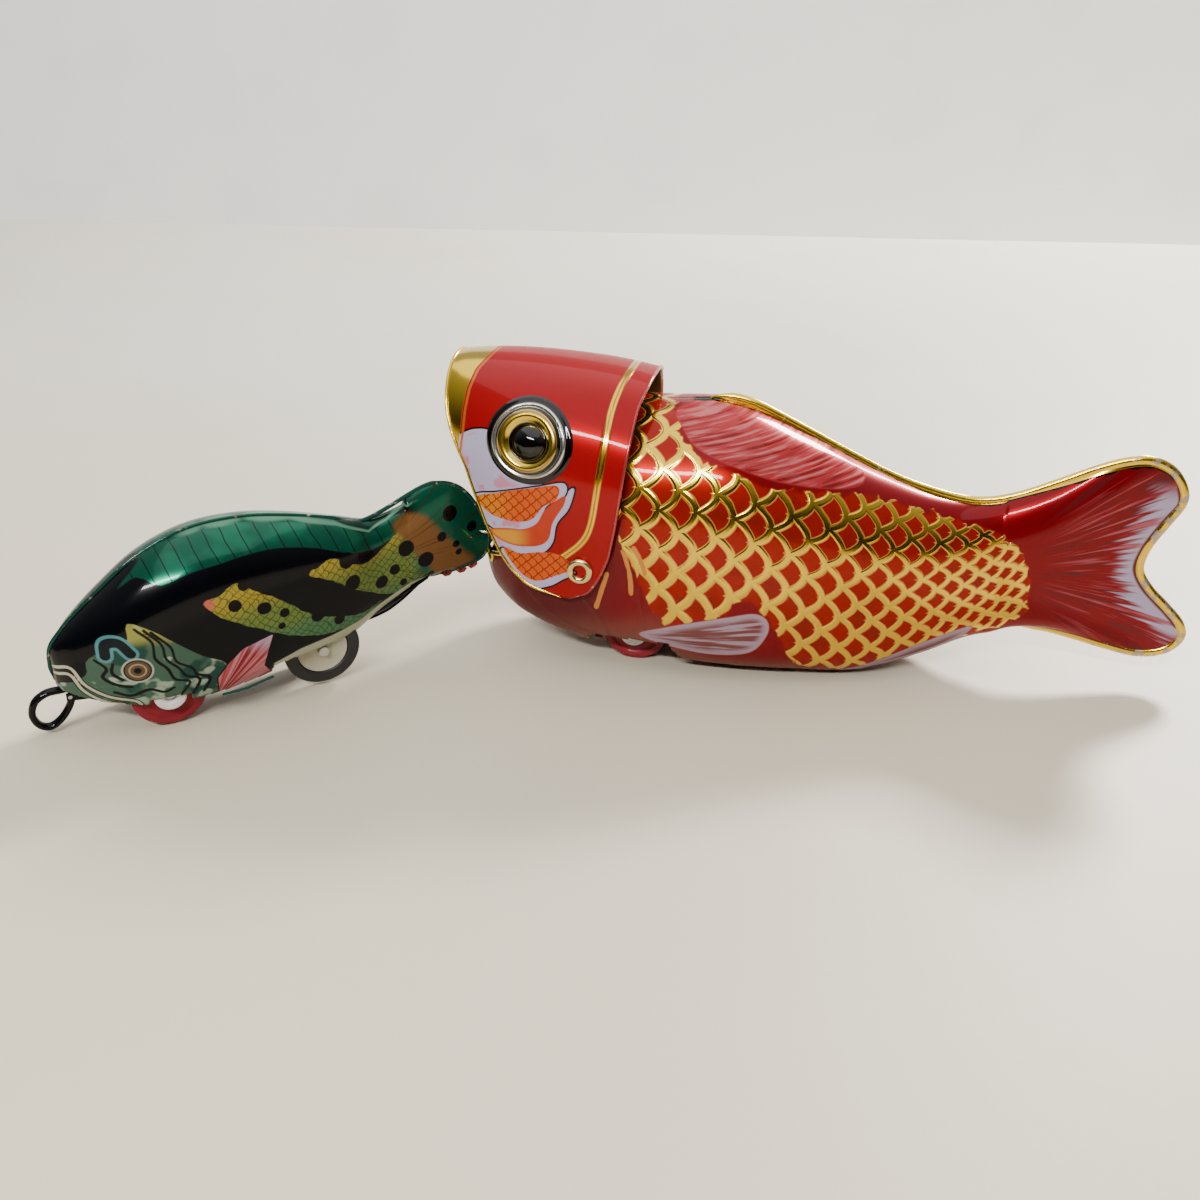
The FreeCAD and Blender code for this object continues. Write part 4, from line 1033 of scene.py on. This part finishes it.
def head_paint():
    paint = lacquer("carp_head_litho_and_painted_sheen", RED, 0.2)
    height, along = paint.field("height"), paint.field("along")
    lip = paint.field("lip")
    # Painted sheen: the top of the head is laid lighter and pinker, with a wavy lower edge, standing in for the
    # reflection of the bright ceiling.
    paint.layer((height + paint.noise(0.1, 2) * 2).ramp(67, 71) * 0.45, (0.30, 0.020, 0.025), 0.2)
    paint.layer(stroke((paint.field("collar") - 0.0), 0.85), (0.42, 0.10, 0.012), 0.7, 0.2)
    paint.layer(stroke((paint.field("collar") - 0.45).size(), 0.24), GOLD, 1.0, 0.16)
    smudge = paint.noise(0.16, 3)
    cheek = paint.field("cheek")
    band_high = paint.field("band_high")
    band_low = paint.field("band_low")
    band_foot = paint.field("band_foot")
    for zone in (cheek, band_low, band_foot, band_high):
        paint.layer(inside(zone + 0.42), INK, 0.0)
        paint.layer(inside(zone), LAVENDER, 0.0)
        paint.layer(inside(zone - 0.8, 0.5) * smudge.ramp(0.06, 0.12) * 0.75, (0.46, 0.14, 0.19), 0.0)
    glow = paint.field("glow")
    paint.layer(inside(glow), (0.40, 0.035, 0.012), 0.1)
    paint.layer(inside(glow - 0.4, 0.4) * along.ramp(-23, -29), (0.58, 0.26, 0.02), 0.2)
    for name in ("scales_high", "scales_low"):
        zone = paint.field(name)
        paint.layer(inside(zone), (0.52, 0.075, 0.008), 0.1)
        paint.layer(inside(zone) * along.ramp(-26, -36) * 0.7, (0.60, 0.22, 0.015), 0.1)
        gap = fish_scales(along / 1.5, height / 2.7, 1.5, 2.7)
        paint.layer(stroke(gap, 0.13, 0.1) * inside(zone), (0.20, 0.015, 0.003), 0.1)
    paint.layer(stroke((lip + 0.75).size(), 0.32), (0.52, 0.13, 0.02), 0.5)
    paint.layer(inside(lip, 0.06), GOLD, 1.0, 0.17)
    paint.bump(stroke(paint.field("collar"), 0.8, 0.5), 0.18)
    return paint.done()


def eye_paint():
    paint = Paint("carp_eye_litho", INK, roughness=0.14, coat=1.0)
    ring = paint.field("ring")
    paint.layer(stroke((ring - 0.80).size(), 0.045, 0.008), (0.74, 0.70, 0.60), 1.0, 0.2)
    paint.layer(stroke((ring - 0.56).size(), 0.12, 0.008), GOLD, 1.0, 0.2)
    paint.layer(stroke((ring - 0.64).size(), 0.025, 0.008), (0.30, 0.18, 0.05), 1.0, 0.25)
    scratch = paint.noise(0.9, 4)
    paint.layer(scratch.ramp(0.24, 0.3) * 0.5, (0.4, 0.36, 0.3), 0.6, 0.4)
    return paint.done()


def trout_paint():
    paint = Paint("trout_litho_and_painted_highlight", (0.0012, 0.0014, 0.0024), roughness=0.2, coat=0.22)
    along, height = paint.field("along"), paint.field("height")
    paint.layer(paint.noise(0.05, 2).ramp(0.05, 0.2) * 0.4, (0.003, 0.002, 0.008))
    slats = ((along + height * 0.35 + paint.noise(0.1, 2) * 1.6) / 3.7)
    slat_gap = (slats - slats.nearest_whole()).size() * 3.7
    edge = paint.field("back_edge")
    paint.layer(stroke((edge - 0.9).size(), 0.9, 0.3), (0.001, 0.030, 0.017), 0.5)
    tier = paint.field("tier")
    paint.layer(inside(tier), (0.001, 0.062, 0.034), 0.5)
    paint.layer(inside(tier) * (paint.noise(0.12, 2)).ramp(0, 0.15) * 0.6, (0.004, 0.11, 0.058), 0.5)
    paint.layer(stroke(slat_gap, 0.14) * (inside(tier).high(stroke((edge - 0.9).size(), 0.9))),
                (0.001, 0.012, 0.008))
    # Painted highlight: a thin pale green line just under the back edge stands in for the light caught by the
    # pressed ridge there.
    paint.layer(stroke((edge + 0.35).size(), 0.22, 0.15) * 0.8, (0.10, 0.26, 0.16), 0.4)
    for name in ("band_front", "band_rear"):
        zone = paint.field(name) + paint.noise(0.3, 2) * 1.2
        paint.layer(inside(zone), (0.12, 0.165, 0.035), 0.2)
        paint.layer(inside(zone) * (height - along * 0.12 + paint.noise(0.1, 2) * 3).ramp(19, 26) * 0.9,
                    (0.30, 0.22, 0.022), 0.2)
        paint.layer(inside(zone) * (height + paint.noise(0.1, 2) * 4).ramp(24, 18) * 0.7,
                    (0.030, 0.14, 0.075), 0.2)
    bend = paint.noise(0.22, 2)
    gap = fish_scales(along / 1.15 + bend * 2.4, height / 2.1 + bend * 1.8, 1.15, 2.1)
    both = inside(paint.field("band_front")).high(inside(paint.field("band_rear")))
    paint.layer(stroke(gap, 0.10, 0.1) * both * 0.8, (0.015, 0.03, 0.004))
    paint.layer(stroke(((along - 33.8) * (along - 33.8) + (height - 31) * (height - 31)).root(), 1.6, 0.8)
                * inside(paint.field("band_front")) * 0.8, (0.45, 0.08, 0.07))
    tail = along.ramp(84, 88)
    paint.layer(tail * height.ramp(20, 24), (0.002, 0.075, 0.042), 0.4)
    rays = paint.noise_at(paint.field("tail_rays") * 34.0, along * 0.03, 2)
    tan_zone = paint.field("tan") + paint.noise(0.2, 2) * 2.0
    paint.layer(tan_zone.ramp(-1.2, 0.8), (0.155, 0.068, 0.019), 0.25)
    paint.layer(along.ramp(80, 84) * rays.ramp(0.05, 0.14) * 0.75, (0.03, 0.014, 0.004), 0.1)
    paint.layer(inside(paint.field("cream"), 0.25), (0.36, 0.38, 0.26), 0.0)
    face = paint.field("face")
    wave = paint.noise(0.11, 2) * 3.0
    paint.layer(inside(face + 0.3), (0.001, 0.003, 0.002))
    paint.layer(inside(face), (0.045, 0.090, 0.060), 0.15)
    paint.layer(inside(face) * (paint.noise(0.10, 3)).ramp(-0.02, 0.04) * 0.92, (0.006, 0.040, 0.030), 0.15)
    paint.layer(inside(face) * (paint.noise(0.16, 2, (1, 1, 1.4))).ramp(-0.06, -0.12) * 0.8,
                (0.30, 0.38, 0.28))
    paint.layer(inside(face) * (height + wave).ramp(23, 26) * 0.8, (0.28, 0.26, 0.05), 0.15)
    paint.layer(stroke(paint.field("creases") + wave * 0.12, 0.32) * inside(face), INK)
    paint.layer(stroke(paint.field("arc_eye"), 1.7), (0.06, 0.19, 0.20), 0.15)
    paint.layer(stroke(paint.field("arc_eye"), 1.05), (0.001, 0.004, 0.007))
    eye = paint.field("eye")
    paint.layer(stroke(eye, 3.15, 0.12), (0.34, 0.34, 0.26), 0.2)
    paint.layer(stroke(eye, 2.75, 0.1), INK)
    paint.layer(stroke((eye - 1.6).size(), 0.85, 0.1), (0.09, 0.055, 0.03), 0.4)
    paint.layer(stroke((eye - 1.6).size(), 0.16, 0.08), (0.32, 0.25, 0.15), 0.5)
    mouth = paint.field("mouth")
    paint.layer(stroke(mouth, 0.62), INK)
    paint.layer(stroke(mouth, 0.34), (0.40, 0.38, 0.27))
    fin = paint.field("fin")
    fin_streaks = paint.noise_at(paint.field("fin_rays") * 22.0, along * 0.04, 2)
    paint.layer(inside(fin + 0.35), INK)
    paint.layer(inside(fin), (0.36, 0.05, 0.06), 0.1)
    paint.layer(inside(fin) * fin_streaks.ramp(0.0, 0.1) * 0.8, (0.48, 0.20, 0.23))
    paint.layer(inside(fin) * fin_streaks.ramp(-0.04, -0.12) * 0.8, (0.10, 0.005, 0.007))
    paint.layer(inside(fin) * (height + along * 0.6).ramp(41, 48) * 0.8, (0.38, 0.30, 0.42))
    paint.layer(inside(paint.field("spots") + paint.noise(0.4, 2) * 0.3), INK)
    return paint.done()


def seam_paint(name, colour, metal, worn):
    """A folded edge: printed metal, rubbed to bare tin near the tail."""
    paint = Paint(name, colour, roughness=0.2, metal=metal, coat=0.4)
    wear = paint.noise(0.35, 4, rough=0.65)
    paint.layer((wear + paint.field("along").ramp(worn - 20, worn + 12) * 0.14).ramp(0.1, 0.2),
                (0.40, 0.33, 0.24),
                1.0, 0.42)
    paint.layer(paint.noise(1.3, 3).ramp(0.2, 0.27) * 0.7, (0.10, 0.06, 0.03), 0.6, 0.5)
    return paint.bump(wear, 0.06).done()


def plain_metal(name, colour, rough, grain, depth=0.01):
    """Bare sheet or wire with fine drawn grain and faint stains."""
    paint = Paint(name, colour, roughness=rough, metal=1.0)
    drawn = paint.noise(2.2, 3, grain)
    stain = paint.noise(0.08, 3)
    paint.layer(stain.ramp(0.0, 0.25) * 0.5, tuple(share * 0.6 for share in colour), 1.0, rough + 0.16)
    paint.layer(drawn.ramp(0.06, 0.2) * 0.25, tuple(min(share * 1.2, 1) for share in colour), 1.0, rough)
    return paint.bump(drawn, depth).done()


def moulded(name, colour, rough, coat, clouding=0.5):
    """Moulded plastic or rubber with faint flow marks and scuffs."""
    paint = Paint(name, colour, roughness=rough, coat=coat)
    scuff = paint.noise(0.9, 4, rough=0.65)
    paint.layer(paint.noise(0.14, 2).ramp(0, 0.2) * clouding, tuple(share * 0.72 for share in colour))
    paint.layer(scuff.ramp(0.16, 0.26) * 0.4, tuple(share * 0.6 + 0.05 for share in colour), 0.0, rough + 0.2)
    return paint.bump(scuff, 0.02).done()


tin_inside = plain_metal("tin_inside", (0.15, 0.11, 0.08), 0.45, (1, 1, 6), 0.02)
tin_edge = plain_metal("tin_edge", (0.50, 0.34, 0.20), 0.35, (1, 1, 1), 0.02)
gold_seam = seam_paint("gold_seam", GOLD, 1.0, 118)
FINISHES = {
    "plain_tin": plain_metal("bare_tinplate", (0.55, 0.54, 0.52), 0.3, (6, 1, 1)),
    "steel": plain_metal("bright_steel", (0.52, 0.52, 0.53), 0.22, (1, 6, 1)),
    "spring_steel": plain_metal("blued_spring", (0.14, 0.18, 0.30), 0.25, (1, 6, 1)),
    "brass": plain_metal("bright_brass", (0.76, 0.58, 0.26), 0.2, (1, 6, 1)),
    "red_plastic": moulded("red_plastic", (0.22, 0.018, 0.026), 0.3, 0.3),
    "white_plastic": moulded("white_plastic", (0.74, 0.71, 0.68), 0.3, 0.3),
    "cream_plastic": moulded("cream_plastic", (0.44, 0.41, 0.30), 0.4, 0.1),
    "black_rubber": moulded("black_rubber", (0.008, 0.007, 0.008), 0.5, 0.0),
    "black_tin": moulded("black_lacquer", (0.003, 0.0025, 0.003), 0.28, 0.4),
    "carp_belly_tin": moulded("belly_lacquer", (0.32, 0.14, 0.10), 0.35, 0.4),
}
for subpart in frame["record"]["subparts"]:
    finish = FINISHES.get(subpart["material_slot"])
    cad_node = frame["nodes"][subpart["node"]]
    if finish:
        cad_node.data.materials.clear()
        cad_node.data.materials.append(finish)


def dress(names, *materials):
    for name in names:
        mesh = bpy.data.objects[name].data
        mesh.materials.clear()
        for material in materials:
            mesh.materials.append(material)


dress(("carp_left_body", "carp_right_body"), carp_body_paint(), tin_inside, gold_seam)
dress(("carp_head",), head_paint(), tin_inside, tin_edge)
dress(("trout_left_body", "trout_right_body"), trout_paint(), tin_inside, tin_edge)
dress(("carp_seam", "carp_lower_lip", "carp_upper_lip"), gold_seam)
dress(("carp_head_rim",), seam_paint("red_rim", (0.40, 0.05, 0.05), 0.6, 40))
dress(("trout_seam", "trout_fin_slits"), seam_paint("dark_green_seam", (0.006, 0.05, 0.035), 0.3, 112))
dress(("carp_eye_left", "carp_eye_right"), eye_paint())
dress(("cheek_eyelets",), FINISHES["brass"])
dress(("carp_front_rims", "carp_rear_rims", "trout_front_rims"), FINISHES["red_plastic"])
dress(("carp_front_bosses", "carp_rear_bosses", "trout_front_bosses"), FINISHES["white_plastic"])
dress(("trout_rear_rubbers",), FINISHES["black_rubber"])
dress(("trout_rear_discs",), FINISHES["cream_plastic"])
dress(("pull_loop", "trout_pan"), FINISHES["black_tin"])
dress(("trout_tail_tabs",), moulded("dark_red_tabs", (0.16, 0.015, 0.015), 0.35, 0.5))

# ------------------------------------------------------------------ camera, lights, floor and wall
CAMERA_PLACE = Vector((47.7, -282.2, 143.0))
CAMERA_AHEAD = Vector((-0.188, 0.887, -0.423))
camera_data = bpy.data.cameras.new("camera")
camera_data.lens = 36.1
camera_data.sensor_width = 36.0
camera_data.clip_start = 0.01
camera = bpy.data.objects.new("camera", camera_data)
camera.location = CARP @ CAMERA_PLACE
camera.rotation_euler = CAMERA_AHEAD.to_track_quat("-Z", "Y").to_euler()
bpy.context.scene.collection.objects.link(camera)
bpy.context.scene.camera = camera


def area_light(name, place, target, size_m, power, colour=(1, 1, 1)):
    data = bpy.data.lights.new(name, "AREA")
    data.shape = "RECTANGLE"
    data.size, data.size_y = size_m
    data.energy = power
    data.color = colour
    light = bpy.data.objects.new(name, data)
    light.location = place
    light.rotation_euler = (Vector(target) - Vector(place)).to_track_quat("-Z", "Y").to_euler()
    bpy.context.scene.collection.objects.link(light)
    return light


world = bpy.data.worlds.new("studio")
bpy.context.scene.world = world
world.use_nodes = True
sky_tree = world.node_tree
sky = sky_tree.nodes["Background"]
sky.inputs["Strength"].default_value = 0.56
sky_place = sky_tree.nodes.new("ShaderNodeSeparateXYZ")
sky_tree.links.new(sky_tree.nodes.new("ShaderNodeTexCoord").outputs["Generated"], sky_place.inputs[0])
# The room is bright above and behind the toy, and dim on the side where the viewer stands.
brightness = Value(sky_tree, sky_place.outputs[2]) * 0.9 + Value(sky_tree, sky_place.outputs[1]) * 0.55 + 0.22
sky_tree.links.new(brightness.high(0.035).low(1.0).socket, sky.inputs["Color"])
area_light("window", (0.46, 1.05, 0.76), (0, 0, 0.03), (0.26, 0.22), 36.0, (1.0, 0.97, 0.92))
area_light("ceiling", (-0.1, 0.0, 1.1), (0, 0.05, 0), (1.9, 1.3), 11.0)
area_light("lamp", (-0.12, -0.72, 0.62), (0, 0, 0.04), (0.5, 0.05), 9.0)


def bench_paint():
    paint = Paint("pale_bench", (0.60, 0.525, 0.385), roughness=0.5)
    apart = paint.tree.nodes.new("ShaderNodeSeparateXYZ")
    paint.tree.links.new(paint.place, apart.inputs[0])
    # Painted light: the bench is laid lighter and greyer towards the back, where the window light falls.
    paint.layer(Value(paint.tree, apart.outputs[1]).ramp(-0.12, 0.3), (0.655, 0.62, 0.54))
    paint.layer(paint.noise(0.012, 4).ramp(-0.1, 0.2) * 0.25, (0.66, 0.58, 0.46))
    paint.layer(paint.noise(0.004, 2).ramp(0.0, 0.15) * 0.3, (0.56, 0.51, 0.42))
    speck = paint.noise(0.55, 3, rough=0.7)
    paint.layer(speck.ramp(0.27, 0.3) * paint.noise(0.05, 2).ramp(0.02, 0.1), (0.20, 0.16, 0.13))
    return paint.bump(paint.noise(0.25, 4), 0.05).done()


def staged_sheet(name, corners, material):
    mesh = bpy.data.meshes.new(name)
    mesh.from_pydata(corners, [], [(0, 1, 2, 3)])
    mesh.materials.append(material)
    sheet = bpy.data.objects.new(name, mesh)
    bpy.context.scene.collection.objects.link(sheet)
    return sheet


staged_sheet("bench", [(-4, -3, 0), (4, -3, 0), (4, 4, 0), (-4, 4, 0)], bench_paint())
wall_paint = Paint("white_wall", (0.80, 0.80, 0.78), roughness=0.7)
wall_paint.layer(wall_paint.noise(0.02, 3).ramp(0.0, 0.2) * 0.5, (0.70, 0.70, 0.69))
wall_paint.shader.inputs["Emission Color"].default_value = (1, 1, 0.98, 1)
wall_paint.shader.inputs["Emission Strength"].default_value = 0.42
wall = staged_sheet("wall", [(-2, 0.617, 0), (2, 0.88, 0), (2, 0.88, 0.4), (-2, 0.617, 0.4)],
                    wall_paint.done())
wall.visible_shadow = False
